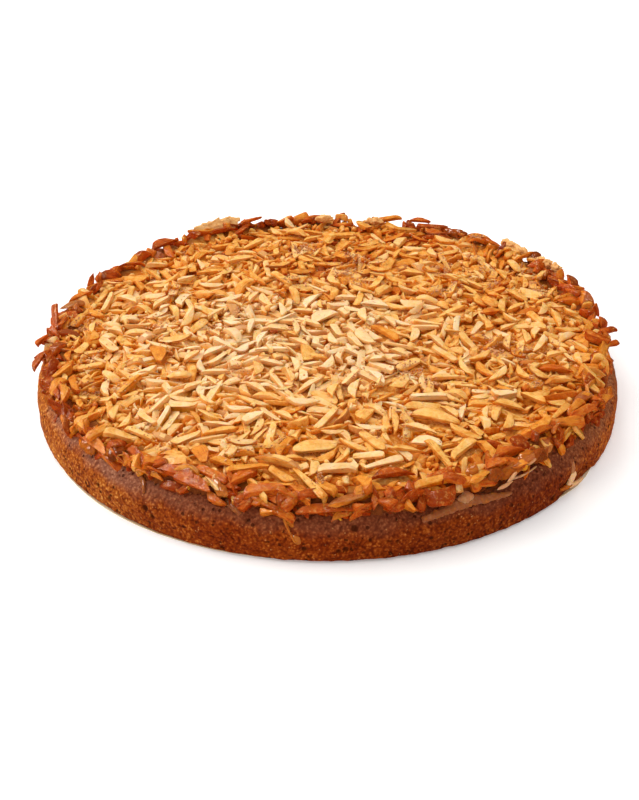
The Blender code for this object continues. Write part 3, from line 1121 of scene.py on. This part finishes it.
edge = {  # the heap's steep edge
    "count": 500,
    "larger": (1.05, 1.05, 1.30),  # in length, width and thickness
    "turns": 3,  # times round
    "kinds": ("longSticks", "longSticks", "halfMoons", "domes", "wedges", "brokenSticks", "brokenMoons"),
    "over": -0.0008,  # past the heap's outline
    "hang": (-0.0010, 0.0014),  # how far their ends hang past it
    "run": 0.0046,  # how far in the edge climbs to the full height
    "above": -0.0002,
    "slump": (0, 50),  # degrees away from lying flat
    "coverUpTo": 35,  # a sliver that slumps less can carry others
    "turn": 34,
    "across": 0.35,  # share that lie at any turn
    "pitch": 13,
    "toast": 0.03,
    "each": 0.17,
    "behind": 0.0022,  # how far they stay back behind the almonds that stand out
    # at the back the edge is broken up into short pieces at any angle
    "brokenFrom": 0.35,
    "brokenShare": 0.62,
    "brokenKinds": ("brokenSticks", "brokenMoons", "wedges", "bits", "halfMoons", "splinters", "shavings"),
    "brokenPitch": 30,
    "brokenTint": 0.17,
}


def edgeSlivers(heapMap, shapes, copies, chance):
    # the steep edge of the heap, stuck all over with slivers that lie flat or slump over it
    for number in range(edge["count"]):
        angle = 2 * math.pi * (number + chance.random()) / edge["count"] * edge["turns"]
        out = Vector((math.cos(angle), math.sin(angle), 0))
        broken = out.y > edge["brokenFrom"] and chance.random() < edge["brokenShare"]
        name, shape, stretch, size = pickShape(shapes, edge["brokenKinds" if broken else "kinds"], chance)
        stretch = stretch * edge["larger"]
        size = size * edge["larger"]
        level = chance.random()
        outline = float(edgeAt(out.x, out.y))
        radius = outline + edge["over"] - edge["run"] * level ** 1.5
        low = float(heapMap.at(radius * out.x, radius * out.y, heapMap.cake))
        inner = (radius - edge["run"]) * out
        high = float(wantedTop(inner.x, inner.y)) + edge["above"]
        slump = math.radians(chance.uniform(*edge["slump"])) * (1 - 0.6 * level)
        turn = math.radians(chance.normal(0, edge["turn"]))
        if broken or chance.random() < edge["across"]:
            turn = chance.uniform(-math.pi / 2, math.pi / 2)
        reach = (abs(math.sin(turn)) * size[0] + abs(math.cos(turn)) * size[1]) / 2 * math.cos(slump)
        radius = min(radius, outline + chance.uniform(*edge["hang"]) - reach * 0.9)
        height = low + (high - low) * level
        if heapMap.at(radius * out.x, radius * out.y, heapMap.claimed) > 0:
            radius -= edge["behind"]
            height -= edge["behind"] / 2
        pitch = math.radians(chance.normal(0, edge["brokenPitch" if broken else "pitch"]))
        tangent = Vector((-out.y, out.x, 0))
        uphill = out * -math.cos(slump) + Vector((0, 0, math.sin(slump)))
        along = tangent * math.cos(turn) + uphill * math.sin(turn) + Vector((0, 0, math.tan(pitch)))
        matrix = leanOut(out, out * radius + Vector((0, 0, height)), along.normalized(), slump)
        matrix.translation -= matrix.col[2].to_3d() * size[2] * 0.25
        toast = toastAt(out.x * radius, out.y * radius, chance) + edge["toast"] * (1 - level)
        toast = min(toast + chance.normal(0, edge["brokenTint" if broken else "each"]), toasting["most"])
        copies[name].append((shape, matrix @ Matrix.Diagonal((*stretch, 1)), toast, chance.random()))
        if slump < math.radians(edge["coverUpTo"]) and matrix.col[2][2] > 0.7:
            cover(heapMap, matrix, size)


def laySliver(heapMap, shapes, name, chance):
    # tries a few spots until one of them carries the sliver; nothing if none does
    name, shape, stretch, size = pickShape(shapes, (name,), chance)
    prouder, steeper = heap["prouder"], heap["steeper"]
    for attempt in range(heap["attempts"]):
        x, y = pickSpot(heapMap, chance, heap["tries"])
        turn = chance.uniform(0, 2 * math.pi)
        radius = math.hypot(x, y)
        outward = abs(math.cos(turn - math.atan2(y, x)))
        if radius + outward * size[0] / 2 > heap["outermost"]:
            turn = math.atan2(y, x) + math.pi / 2 + chance.uniform(-0.5, 0.5)
        rim = float(smooth((radius / tartRadius - heap["rimFrom"]) / heap["rimWidth"]))
        wild = chance.random() < heap["wild"]
        steepest = heap["steepest"] + steeper["rim"] * rim + steeper["wild"] * wild
        proud = heap["proud"] + prouder["wild"] * wild + prouder["rim"] * rim
        proud += prouder["later"] * (name in heap["later"])
        matrix = layDown(heapMap, x, y, turn, size, steepest, proud)
        if matrix:
            break
    if not matrix:
        return None
    toast = toastAt(x, y, chance)
    scale = Matrix.Diagonal((*stretch, 1))
    if chance.random() < heap["turnedOver"]:
        scale = Matrix.Translation((0, 0, size[2])) @ Matrix.Rotation(math.pi, 4, "X") @ scale
    return shape, matrix @ scale, toast, chance.random()


def makeHeap(body):
    chance = np.random.default_rng(heap["seed"])
    heapMap = HeapMap(body)
    print("height map ready")
    shapes = {}
    order = []
    for name, kind in sliverKinds.items():
        shapes[name] = [makeSliver(name + "Shape", kind, chance) for n in range(kernel["variants"])]
        order += [(float(chance.random() + heap["later"].get(name, 0)), name) for n in range(kind[-1])]
    order.sort()
    print("shapes of slivers ready")
    copies = {name: [] for name in sliverKinds}
    placeShowpieces(heapMap, shapes, copies, chance)
    edgeSlivers(heapMap, shapes, copies, chance)
    lowSlivers(heapMap, shapes, copies, chance)
    dropped = 0
    for rank, name in order:
        laid = laySliver(heapMap, shapes, name, chance)
        if laid:
            copies[name].append(laid)
        else:
            dropped += 1
    print("slivers left out:", dropped, "of", len(order))
    gapSlivers(heapMap, shapes, copies, chance)
    pieces = [joinCopies(name, copies[name], heapMap) for name in sliverKinds]
    removeAll(sum(shapes.values(), []))
    return pieces, heapMap


def blurred(field, cells):
    # a soft mean over a square of cells, run three times
    count = 2 * cells + 1
    for turn in range(3):
        for axis in (0, 1):
            first = np.repeat(np.take(field, [0], axis), cells + 1, axis)
            last = np.repeat(np.take(field, [-1], axis), cells, axis)
            total = np.cumsum(np.concatenate([first, field, last], axis), axis)
            ahead = np.take(total, range(count, total.shape[axis]), axis)
            behind = np.take(total, range(0, total.shape[axis] - count), axis)
            field = (ahead - behind) / count
    return field


def joinCopies(name, places, heapMap):
    parts = []
    for shape, matrix, toast, tint in places:
        mesh = shape.data.copy()
        mesh.transform(matrix)
        setValues(mesh, "toast", toast)
        setValues(mesh, "tint", tint)
        part = bpy.data.objects.new(name, mesh)
        bpy.context.collection.objects.link(part)
        parts.append(part)
    piece = joinParts(parts, name)
    # how deep each point lies under the slivers round it
    points = getPoints(piece)
    around = blurred(heapMap.height, 3)
    setValues(piece.data, "deep", heapMap.at(points[:, 0], points[:, 1], around) - points[:, 2])
    triangles = sum(len(face.vertices) - 2 for face in piece.data.polygons)
    print(name, len(parts), "copies,", triangles, "triangles")
    return piece


binder = {
    "cell": 0.00105,  # of its grid
    "under": 0.0021,  # how far below the slivers' tops the caramel stands between them
    "underMore": 0.0014,  # in the places where it is lowest
    "patchSize": 0.018,
    "grainSize": 0.0017,
    "grainHeight": 0.0004,
    "inset": 0.0016,  # how far its border lies inside the heap's outline
    "borderUnder": 0.0006,  # how far that lies under the cake's crust
    "raised": 0.0004,
    "skirt": 0.004,
    # colours where it is dry and crumbly, where it is sticky, and at the rim
    "dry": ((0.34, (0.56, 0.16, 0.014)), (0.5, (0.74, 0.30, 0.045)), (0.66, (0.87, 0.49, 0.14))),
    "sticky": ((0.3, (0.56, 0.13, 0.008)), (0.7, (0.80, 0.29, 0.028))),
    "burnt": ((0.10, 0.016, 0.004), (0.30, 0.07, 0.012)),
}


def makeBinder(heapMap):
    count = int(2 * tartRadius / binder["cell"])
    deselectAll()
    bpy.ops.mesh.primitive_grid_add(x_subdivisions=count, y_subdivisions=count, size=2 * tartRadius)
    sheet = newPiece("caramelBinder")
    editMode(sheet)
    bpy.ops.mesh.select_mode(type="VERT")
    mesh = bmesh.from_edit_mesh(sheet.data)
    for vert in mesh.verts:
        vert.select_set(math.hypot(vert.co.x, vert.co.y) > edgeAt(vert.co.x, vert.co.y) - binder["inset"])
    mesh.select_flush_mode()
    bpy.ops.mesh.delete(type="VERT")
    objectMode()
    points = getPoints(sheet)
    x, y = points[:, 0], points[:, 1]
    level = blurred(heapMap.height, 4)
    patches = smooth(softNoise(x, y, binder["patchSize"], 9) * 0.6 + 0.45)
    top = heapMap.at(x, y, level) - binder["under"] - binder["underMore"] * patches
    top += binder["grainHeight"] * lumps(points, binder["grainSize"], 5)
    cake = heapMap.at(x, y, heapMap.cake)
    share = edgeShare(x, y, -binder["inset"])
    rise = np.maximum(top, cake) - cake + binder["raised"]
    points[:, 2] = cake - binder["borderUnder"] + rise * share
    setPoints(sheet, points)
    setValues(sheet.data, "dry", 1 - patches)
    closeSheet(sheet, binder["skirt"])
    return sheet


def binderMaterial():
    material, nodes, shader = newMaterial("caramelBinder")
    place = nodes.coords()
    grain = nodes.noise(place, 620, 4, 0.7)
    dryness = nodes.swayed(nodes.attribute("dry"), nodes.noise(place, 160, 3), 1.2)
    dry = nodes.ramp(grain, binder["dry"])
    sticky = nodes.ramp(grain, binder["sticky"])
    color = nodes.mix(nodes.span(dryness, 0.4, 0.8), sticky, dry)
    color = nodes.mix(nodes.rimMask(place, 0.84, 0.93), color, nodes.mix(grain, *binder["burnt"]))
    nodes.fill(shader, {
        "Base Color": color,
        "Roughness": nodes.span(dryness, 0.4, 0.8, 0.28, 0.7),
        "Specular IOR Level": 0.15,
        "Specular Tint": (1.0, 0.6, 0.3),
        "Normal": nodes.bump(grain, 0.6, 0.0008),
    })
    return material


# caramel that ran over the edge: each run's thickness in millimetres and its tone (0 pale, 1 dark),
# then its points: direction in degrees, height and half width in millimetres
caramelRuns = {
    "rimFilm": (0.9, 0.40, (
        (286, 15.2, 1.2), (289, 16.3, 1.9), (292.5, 17.2, 2.4), (296, 17.4, 2.2), (300, 16.5, 1.7),
        (304, 15.5, 0.7))),
    "rimBlob": (1.9, 0.24, ((293.0, 18.4, 0.7), (294.8, 18.4, 3.0), (296.6, 18.4, 0.8))),
    "drip": (1.0, 0.52, (
        (262.2, 19.6, 1.4), (262.8, 17, 0.9), (263.6, 14, 0.55), (264.4, 11, 0.6), (265, 9.4, 1.0))),
    "leftDrip": (1.1, 0.42, ((233.5, 19.7, 1.5), (235.5, 18.2, 1.1), (236.4, 15.4, 0.5))),
    "tornEdge": (1.1, 0.16, ((301, 18.3, 0.4), (304, 18.9, 0.6), (308, 18.5, 0.6), (311.5, 18.9, 0.4))),
    "paleStreak": (0.6, 0.30, ((320.0, 14.4, 0.5), (319.6, 12.2, 1.2), (319.4, 9.4, 1.6))),
    "paleChip": (0.9, 0.0, ((320.4, 9.4, 0.8), (319.4, 8.2, 2.2), (318.6, 6.4, 2.0), (317.6, 5.0, 0.6))),
    "paleFoot": (0.8, 0.08, ((317.6, 4.8, 0.5), (319.4, 3.6, 1.1), (321.4, 2.9, 1.0), (323.4, 2.6, 0.5))),
    "redFlake": (1.0, 0.60, ((315.6, 5.8, 0.7), (317.3, 5.2, 1.2), (319.2, 4.7, 0.6))),
    "amber": (1.0, 0.40, ((251.6, 19.9, 1.5), (253.4, 18.8, 1.9), (255.2, 17.2, 0.8))),
}

caramel = {
    "step": 0.0005,
    "sink": 0.0004,  # how far the borders of a run go under the crust
    "raggedSides": 0.35,
    "uneven": 0.55,
    "unevenSize": 0.0022,
    "endLength": 0.0012,
    "lumpStretch": 1.1,
    "lumpFolds": (0.45, 0.0026),  # height, as a share of the lump, and size
    "lumpWrinkles": (0.15, 0.0011),
    # colours from the palest to the darkest tone
    "tones": (
        (0.0, (0.86, 0.50, 0.25)),
        (0.25, (0.50, 0.20, 0.080)),
        (0.40, (0.30, 0.085, 0.026)),
        (0.52, (0.54, 0.15, 0.014)),
        (0.66, (0.36, 0.070, 0.006)),
        (0.82, (0.20, 0.034, 0.003)),
        (1.00, (0.05, 0.009, 0.002)),
    ),
}


def cakeSurface(degrees, down):
    # a point on the cake's outside, down measured along it from the start of the shoulder
    turn = np.minimum(down / cake["shoulder"], math.pi / 2)
    straight = np.maximum(down - cake["shoulder"] * math.pi / 2, 0)
    out = tartRadius - cake["shoulder"] + cake["shoulder"] * np.sin(turn)
    height = cakeHigh[2] - cake["shoulder"] + cake["shoulder"] * np.cos(turn) - straight
    angle = np.radians(degrees)
    around = np.stack([np.cos(angle), np.sin(angle)], 1)
    place = np.column_stack([around * out[:, None], height])
    normal = np.column_stack([around * np.sin(turn)[:, None], np.cos(turn)])
    return place, normal


def downTo(height):
    # how far down the outside a height lies
    rise = (height - (cakeHigh[2] - cake["shoulder"])) / cake["shoulder"]
    if rise >= 0:
        return math.acos(min(rise, 1.0)) * cake["shoulder"]
    return (math.pi / 2 - rise) * cake["shoulder"]


def makeRun(name, run, seed):
    thick, tone, path = run
    path = np.array([(math.radians(turn) * tartRadius, downTo(z / 1000), w / 1000) for turn, z, w in path])
    steps = np.append(0, np.cumsum(np.hypot(*np.diff(path[:, :2], axis=0).T)))
    count = int(steps[-1] / caramel["step"]) + 1
    across = int(2 * path[:, 2].max() / caramel["step"]) + 3
    deselectAll()
    bpy.ops.mesh.primitive_grid_add(x_subdivisions=count, y_subdivisions=across, size=2)
    piece = newPiece(name)
    points = getPoints(piece)
    spot = (points[:, 0] + 1) / 2 * steps[-1]
    here, after, behind = (
        np.stack([np.interp(spot + shift, steps, path[:, axis]) for axis in range(3)], 1)
        for shift in (0, 0.0006, -0.0006))
    ahead = (after - behind)[:, :2]
    ahead /= np.linalg.norm(ahead, axis=1)[:, None]
    ragged = lumps(points * (steps[-1] * 400, 0.8, 1), 1, seed)
    width = here[:, 2] * (1 + caramel["raggedSides"] * ragged)
    place = here[:, :2] + np.stack([-ahead[:, 1], ahead[:, 0]], 1) * (points[:, 1] * width)[:, None]
    ends = np.clip(np.minimum(spot, steps[-1] - spot) / caramel["endLength"], 0, 1)
    share = np.sqrt(np.clip(1 - points[:, 1] ** 2, 0, 1)) * np.sqrt(ends)
    surface, normal = cakeSurface(np.degrees(place[:, 0] / tartRadius), place[:, 1])
    uneven = 1 + caramel["uneven"] * lumps(surface, caramel["unevenSize"], seed + 3)
    lift = -caramel["sink"] + (thick / 1000 * uneven + caramel["sink"]) * share
    setPoints(piece, surface + normal * lift[:, None])
    setValues(piece.data, "tone", tone)
    closeSheet(piece)
    return piece


# thick lumps of it: the two ends of each, its width and thickness in millimetres, and its tone
caramelLumps = {
    "tornLow": ((55, -110, 21), (66, -104, 22), 5.5, 5.0, 0.92),
    "tornStub": ((54, -109, 23), (55, -106, 29), 4.6, 4.2, 0.54),
    "tornKnob": ((59, -109, 23), (67, -104, 25), 6.0, 6.0, 0.72),
    "tornMiddle": ((65, -106, 23), (74, -100, 25), 6.0, 5.8, 0.62),
    "tornRidge": ((72, -101, 25), (79, -96, 27), 4.8, 5.0, 0.56),
    "tornTip": ((77, -99, 26), (83, -94, 27), 3.8, 3.4, 0.72),
    # a nearly black lump under the torn lump: painted shade beneath it
    "shadeUnderTorn": ((58, -109, 20), (70, -103, 21), 5.4, 5.0, 0.97),
    "tornLip": ((65, -110, 20), (70, -108, 22), 1.3, 1.4, 0.18),
    "tornLipTop": ((69, -108, 22), (72, -106, 25), 1.2, 1.2, 0.16),
    "tornWhite": ((77, -102, 26), (80, -101, 28), 1.4, 1.2, 0.20),
    "tornTail": ((78, -96, 24), (85, -91, 22), 4.0, 3.8, 0.80),
    "sideBrown": ((100, 74, 30), (105, 69, 30), 5.0, 4.4, 0.78),
    "backBrown": ((60, 102, 29), (70, 98, 30), 5.0, 4.4, 0.70),
    "darkLump": ((-86, -91, 22), (-80, -92, 26), 6.0, 5.0, 0.80),
    "leftBead": ((-118, -44, 20), (-115, -50, 21), 5.4, 4.6, 0.62),
    "lowBead": ((-98, -78, 20), (-92, -84, 21), 5.4, 4.8, 0.60),
    "lowerBead": ((-90, -84, 21), (-85, -89, 22), 5.0, 4.6, 0.66),
    "dripTop": ((-15, -125, 18), (-13, -127, 15), 2.6, 1.8, 0.52),
    "dripEnd": ((-13, -128, 12), (-10, -129, 10), 3.4, 2.2, 0.50),
    "tongue": ((-43, -113, 27), (-38, -119, 23), 5.0, 2.6, 0.50),
}


def makeLump(name, lump, seed, slump=45):
    start, end, width, thick, tone = lump
    matrix, length = laidBetween(start, end, slump)
    deselectAll()
    bpy.ops.mesh.primitive_ico_sphere_add(subdivisions=4, radius=1)
    piece = newPiece(name)
    points = getPoints(piece)
    points *= np.array((length * caramel["lumpStretch"], width / 1000, thick / 1000)) / 2
    folds, foldSize = caramel["lumpFolds"]
    wrinkles, wrinkleSize = caramel["lumpWrinkles"]
    uneven = 1 + folds * lumps(points, foldSize, seed) + wrinkles * lumps(points, wrinkleSize, seed + 5)
    setPoints(piece, points * uneven[:, None])
    piece.data.transform(matrix)
    setValues(piece.data, "tone", tone)
    piece.data.shade_smooth()
    return piece


def makeRuns():
    parts = [makeRun(name, run, number) for number, (name, run) in enumerate(caramelRuns.items())]
    parts += [makeLump(name, lump, number) for number, (name, lump) in enumerate(caramelLumps.items())]
    return joinParts(parts, "caramelRuns")


def caramelMaterial():
    material, nodes, shader = newMaterial("stickyCaramel")
    place = nodes.coords()
    streak = nodes.noise(place, 420, 4, 0.6)
    tone = nodes.swayed(nodes.attribute("tone"), streak, 0.35)
    pits = nodes.noise(place, 330, 3, 0.6)
    nodes.fill(shader, {
        "Base Color": nodes.ramp(tone, caramel["tones"]),
        "Roughness": nodes.span(streak, 0.35, 0.65, 0.26, 0.42),
        "Specular IOR Level": 0.12,
        "Specular Tint": (1.0, 0.70, 0.50),
        "Coat Weight": nodes.span(tone, 0.30, 0.50, 0.15, 1.0),
        "Coat Roughness": 0.10,
        "Coat IOR": 1.55,
        "Subsurface Weight": 0.30,
        "Subsurface Radius": (1.0, 0.28, 0.05),
        "Subsurface Scale": 0.0016,
        "Normal": nodes.bump(pits, 0.7, 0.0016),
        "Coat Normal": nodes.bump(pits, 0.5, 0.0012),
    })
    return material


crumbs = {
    "size": (0.0005, 0.0013),
    "loose": 1700,
    "lowBy": (-0.0005, 0.0022),  # how far under the heap's top they mostly lie
    "fromEdge": 0.003,
    "patches": 46,
    "patchReach": 0.93,  # in radii of the tart
    "patchFromEdge": 0.001,
    "inPatch": (25, 70),
    "patchSize": (0.0018, 0.0042),
    "variants": 6,
    "crustRagged": 0.0009,
    "crustGrain": 0.0011,
    "seed": 8,
    # where the first small heaps lie: x, y and spread in metres
    "heaps": (
        (0.013, 0.066, 0.0050), (0.006, 0.056, 0.0055), (0.035, -0.037, 0.0045), (-0.012, 0.082, 0.0045),
    ),
    # crumbly crust on the back edge: the two ends of each, its width and thickness in millimetres,
    # its toasting and its slump in degrees
    "crust": (
        ((88, 88, 29), (95, 82, 30), 5.6, 4.6, 0.30, 45),
        ((94, 82, 30), (99, 76, 30), 5.0, 4.2, 0.42, 45),
        ((104, 68, 30), (109, 62, 30), 5.4, 4.2, 0.32, 45),
        ((109, 62, 29), (113, 57, 30), 4.4, 3.8, 0.50, 45),
        ((20, 116, 29), (28, 114, 30), 4.6, 3.8, 0.36, 45),
        ((-5, 117, 30), (3, 117, 30), 4.4, 3.4, 0.40, 45),
        ((-68, 101, 29), (-52, 108, 31), 7.6, 1.8, 0.06, -58),
        ((-58, 106, 30), (-46, 112, 31), 6.4, 1.6, 0.16, -50),
    ),
    "pale": ((0.3, (0.76, 0.32, 0.075)), (0.7, (0.92, 0.56, 0.22))),
    "pink": ((0.3, (0.50, 0.17, 0.055)), (0.7, (0.85, 0.45, 0.22))),
    "toasted": (0.42, 0.24, 0.18),
}


def makeCrumbs(heapMap):
    # grains of almond and sugar, loose in the low places and in small heaps
    chance = np.random.default_rng(crumbs["seed"])
    shapes = []
    for number in range(crumbs["variants"]):
        deselectAll()
        bpy.ops.mesh.primitive_ico_sphere_add(subdivisions=1, radius=0.5)
        grain = bpy.context.object
        points = getPoints(grain)
        points += chance.normal(0, 0.10, points.shape)
        points *= (1, chance.uniform(0.6, 0.9), chance.uniform(0.5, 0.8))
        setPoints(grain, points)
        shapes.append(grain)
    spots = []
    while len(spots) < crumbs["loose"]:
        x, y = chance.uniform(-tartRadius, tartRadius, 2)
        if math.hypot(x, y) > edgeAt(x, y) - crumbs["fromEdge"]:
            continue
        short = heapMap.at(x, y, heapMap.top) - heapMap.at(x, y)
        if short > chance.uniform(*crumbs["lowBy"]):
            spots.append((x, y, chance.random() * 0.6))
    for patch in range(crumbs["patches"]):
        radius = tartRadius * crumbs["patchReach"] * math.sqrt(chance.random())
        angle = chance.uniform(0, 2 * math.pi)
        middleX, middleY = radius * math.cos(angle), radius * math.sin(angle)
        size = chance.uniform(*crumbs["patchSize"])
        count = int(chance.integers(*crumbs["inPatch"]))
        if patch < len(crumbs["heaps"]):
            middleX, middleY, size = crumbs["heaps"][patch]
            count = 2 * crumbs["inPatch"][1]
        for grain in range(count):
            x = middleX + chance.normal(0, size)
            y = middleY + chance.normal(0, size)
            if math.hypot(x, y) < edgeAt(x, y) - crumbs["patchFromEdge"]:
                spots.append((x, y, 0.4 + chance.random() * 0.6))
    places = []
    for x, y, tint in spots:
        size = chance.uniform(*crumbs["size"])
        spin = Matrix.Rotation(chance.uniform(0, 2 * math.pi), 4, "Z")
        spin = spin @ Matrix.Rotation(chance.normal(0, 0.5), 4, "X")
        level = heapMap.at(x, y)
        matrix = Matrix.Translation((x, y, level + size * 0.12)) @ spin @ Matrix.Scale(size, 4)
        heapMap.height[heapMap.index(y), heapMap.index(x)] = level + size * 0.3  # the next grain lies on it
        places.append((shapes[int(chance.integers(len(shapes)))], matrix, toastAt(x, y, chance), tint))
    for number, lump in enumerate(crumbs["crust"]):
        clump = makeLump("crust", lump[:-1], 40 + number, lump[-1])
        points = getPoints(clump)
        ragged = crumbs["crustRagged"] * lumps(points, crumbs["crustGrain"], 60 + number)
        setPoints(clump, points + getPoints(clump, "normal") * ragged[:, None])
        places.append((clump, Matrix.Identity(4), lump[-2], 0.2))
        shapes.append(clump)
    piece = joinCopies("crumbs", places, heapMap)
    piece.data.shade_smooth()
    removeAll(shapes)
    return piece


def crumbMaterial():
    material, nodes, shader = newMaterial("sugarCrumb")
    grain = nodes.noise(nodes.coords(), 900, 3, 0.6)
    color = nodes.mix(nodes.span(nodes.attribute("tint"), 0.35, 0.75),
                      nodes.ramp(grain, crumbs["pale"]), nodes.ramp(grain, crumbs["pink"]))
    color = nodes.tint(color, nodes.span(nodes.attribute("toast"), 0.35, 0.95), crumbs["toasted"])
    nodes.fill(shader, {
        "Base Color": color,
        "Roughness": nodes.span(grain, 0.3, 0.7, 0.45, 0.7),
        "Specular IOR Level": 0.2,
        "Normal": nodes.bump(grain, 0.5, 0.0004),
    })
    return material


almondLook = {
    # colours from barely coloured to nearly burnt
    "toasted": (
        (0.0, (0.89, 0.67, 0.40)),
        (0.22, (0.89, 0.59, 0.28)),
        (0.42, (0.86, 0.475, 0.128)),
        (0.60, (0.72, 0.26, 0.026)),
        (0.78, (0.53, 0.094, 0.006)),
        (0.92, (0.31, 0.040, 0.002)),
    ),
    "skin": ((0.60, 0.26, 0.10), (0.25, 0.055, 0.012)),
    "sugar": (0.76, 0.38, 0.11),
    # a saturated orange: painted shade on the sides and deep in the pile, partly syrup
    "syrupAndShade": (1.0, 0.60, 0.08),
    "cracks": (0.42, 0.25, 0.16),
}


def almondMaterial():
    material, nodes, shader = newMaterial("toastedAlmond")
    place = nodes.coords()
    toast, tint, rind, deep = (nodes.attribute(name) for name in ("toast", "tint", "rind", "deep"))
    # each sliver has its own stretch of grain
    spread = nodes.add("ShaderNodeVectorMath", operation="SCALE")
    spread.inputs[0].default_value = (37.0, 91.0, 53.0)
    nodes.link(tint, spread.inputs["Scale"])
    moved = nodes.add("ShaderNodeVectorMath", operation="MULTIPLY_ADD")
    nodes.link(nodes.attribute("grainPlace", "Vector"), moved.inputs[0])
    moved.inputs[1].default_value = (0.14, 1.0, 1.0)
    nodes.link(spread.outputs[0], moved.inputs[2])
    along = moved.outputs[0]
    fibre = nodes.noise(along, 1.6, 4, 0.6)
    line = nodes.math("ABSOLUTE", nodes.math("SUBTRACT", nodes.noise(along, 0.55, 2, 0.5), 0.5))
    cracks = nodes.span(line, 0.016, 0.006)
    cracks = nodes.times(cracks, nodes.span(nodes.noise(along, 0.6, 1), 0.54, 0.60))
    patch = nodes.noise(place, 260, 5, 0.7)
    facing = nodes.add("ShaderNodeSeparateXYZ")
    nodes.link(nodes.add("ShaderNodeTexCoord").outputs["Normal"], facing.inputs[0])
    side = nodes.span(facing.outputs["Z"], 0.90, 0.30)
    browned = nodes.swayed(toast, patch, nodes.span(toast, 0.45, 0.75, 0.70, 0.46))
    browned = nodes.swayed(browned, fibre, 0.30)
    browned = nodes.math("ADD", browned, nodes.times(rind, 0.10))
    color = nodes.ramp(browned, almondLook["toasted"])
    # some kernels have kept their brown skin
    skin = nodes.times(rind, nodes.span(tint, 0.80, 0.84, 0.0, 0.7))
    color = nodes.mix(skin, color, nodes.mix(nodes.span(browned, 0.3, 0.9), *almondLook["skin"]))
    sugar = nodes.times(nodes.span(nodes.noise(place, 620, 3, 0.65), 0.54, 0.68),
                        nodes.span(toast, 0.50, 0.80, 0.0, 0.50))
    color = nodes.mix(sugar, color, almondLook["sugar"])
    # painted shade on their sides and where they lie deep among the others, partly syrup that soaked in;
    # less of it in the middle of the tart
    sunk = nodes.span(deep, -0.0004, 0.0022, 0.0, 0.6)
    shadeAndSoak = nodes.math("ADD", nodes.times(side, 0.54), sunk, clamp=True)
    middle = nodes.math("ADD", nodes.times(nodes.rimMask(place, 0.20, 0.62), 0.30), 0.70)
    color = nodes.tint(color, nodes.times(shadeAndSoak, middle), almondLook["syrupAndShade"])
    color = nodes.tint(color, nodes.times(cracks, 0.6), almondLook["cracks"])
    # the glaze, which is thicker towards the rim
    rim = nodes.rimMask(place, 0.80, 0.92)
    sticky = nodes.math("ADD", nodes.times(rim, 0.55), 0.20)
    glaze = nodes.span(nodes.math("ADD", nodes.noise(place, 130, 3), nodes.times(rim, 0.10)), 0.50, 0.60)
    fine = nodes.bump(fibre, 0.4, 0.0004)
    nodes.fill(shader, {
        "Base Color": color,
        "Roughness": nodes.span(glaze, 0, 1, 0.50, 0.30),
        "Coat Weight": nodes.times(glaze, sticky),
        "Coat Roughness": 0.12,
        "Coat IOR": 1.45,
        "Specular IOR Level": 0.25,
        "Specular Tint": (1.0, 0.62, 0.32),
        "Subsurface Weight": 0.35,
        "Subsurface Radius": (1.0, 0.4, 0.12),
        "Subsurface Scale": 0.0012,
        "Normal": nodes.bump(patch, 0.8, 0.0014, fine),
        "Coat Normal": nodes.bump(nodes.noise(place, 420, 3, 0.6), 0.8, 0.0018),
    })
    return material


bakingPaper = {"stains": ((0.35, (0.86, 0.76, 0.55)), (0.6, (0.70, 0.50, 0.27)))}


def paperMaterial():
    material, nodes, shader = newMaterial("greaseproofPaper")
    place = nodes.coords()
    stain = nodes.noise(place, 60, 4)
    nodes.fill(shader, {
        "Base Color": nodes.ramp(stain, bakingPaper["stains"]),
        "Roughness": nodes.span(stain, 0.3, 0.7, 0.45, 0.65),
        "Normal": nodes.bump(nodes.noise(place, 300, 3), 0.3, 0.0003),
    })
    return material


makeCamera()
makeStudio()
print("camera and studio ready")

cakeBase = makeCake()
cakeBase.data.materials.append(cakeMaterial())
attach(cakeBase, "root")
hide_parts("cake_base")
print("cake base ready:", len(cakeBase.data.polygons), "faces")

slivers, heapMap = makeHeap(cakeBase)
print("slivers ready")

almond = almondMaterial()
finishes = [(piece, almond) for piece in slivers]
finishes.append((makeCrumbs(heapMap), crumbMaterial()))
finishes.append((makeRuns(), caramelMaterial()))
caramelBinder = makeBinder(heapMap)
finishes.append((caramelBinder, binderMaterial()))
for piece, material in finishes:
    piece.data.materials.clear()
    piece.data.materials.append(material)
    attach(piece, "root")
    print(piece.name, "ready:", len(piece.data.polygons), "faces")
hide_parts("almond_topping")

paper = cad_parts["baking_paper"]
paper.data.materials.clear()
paper.data.materials.append(paperMaterial())
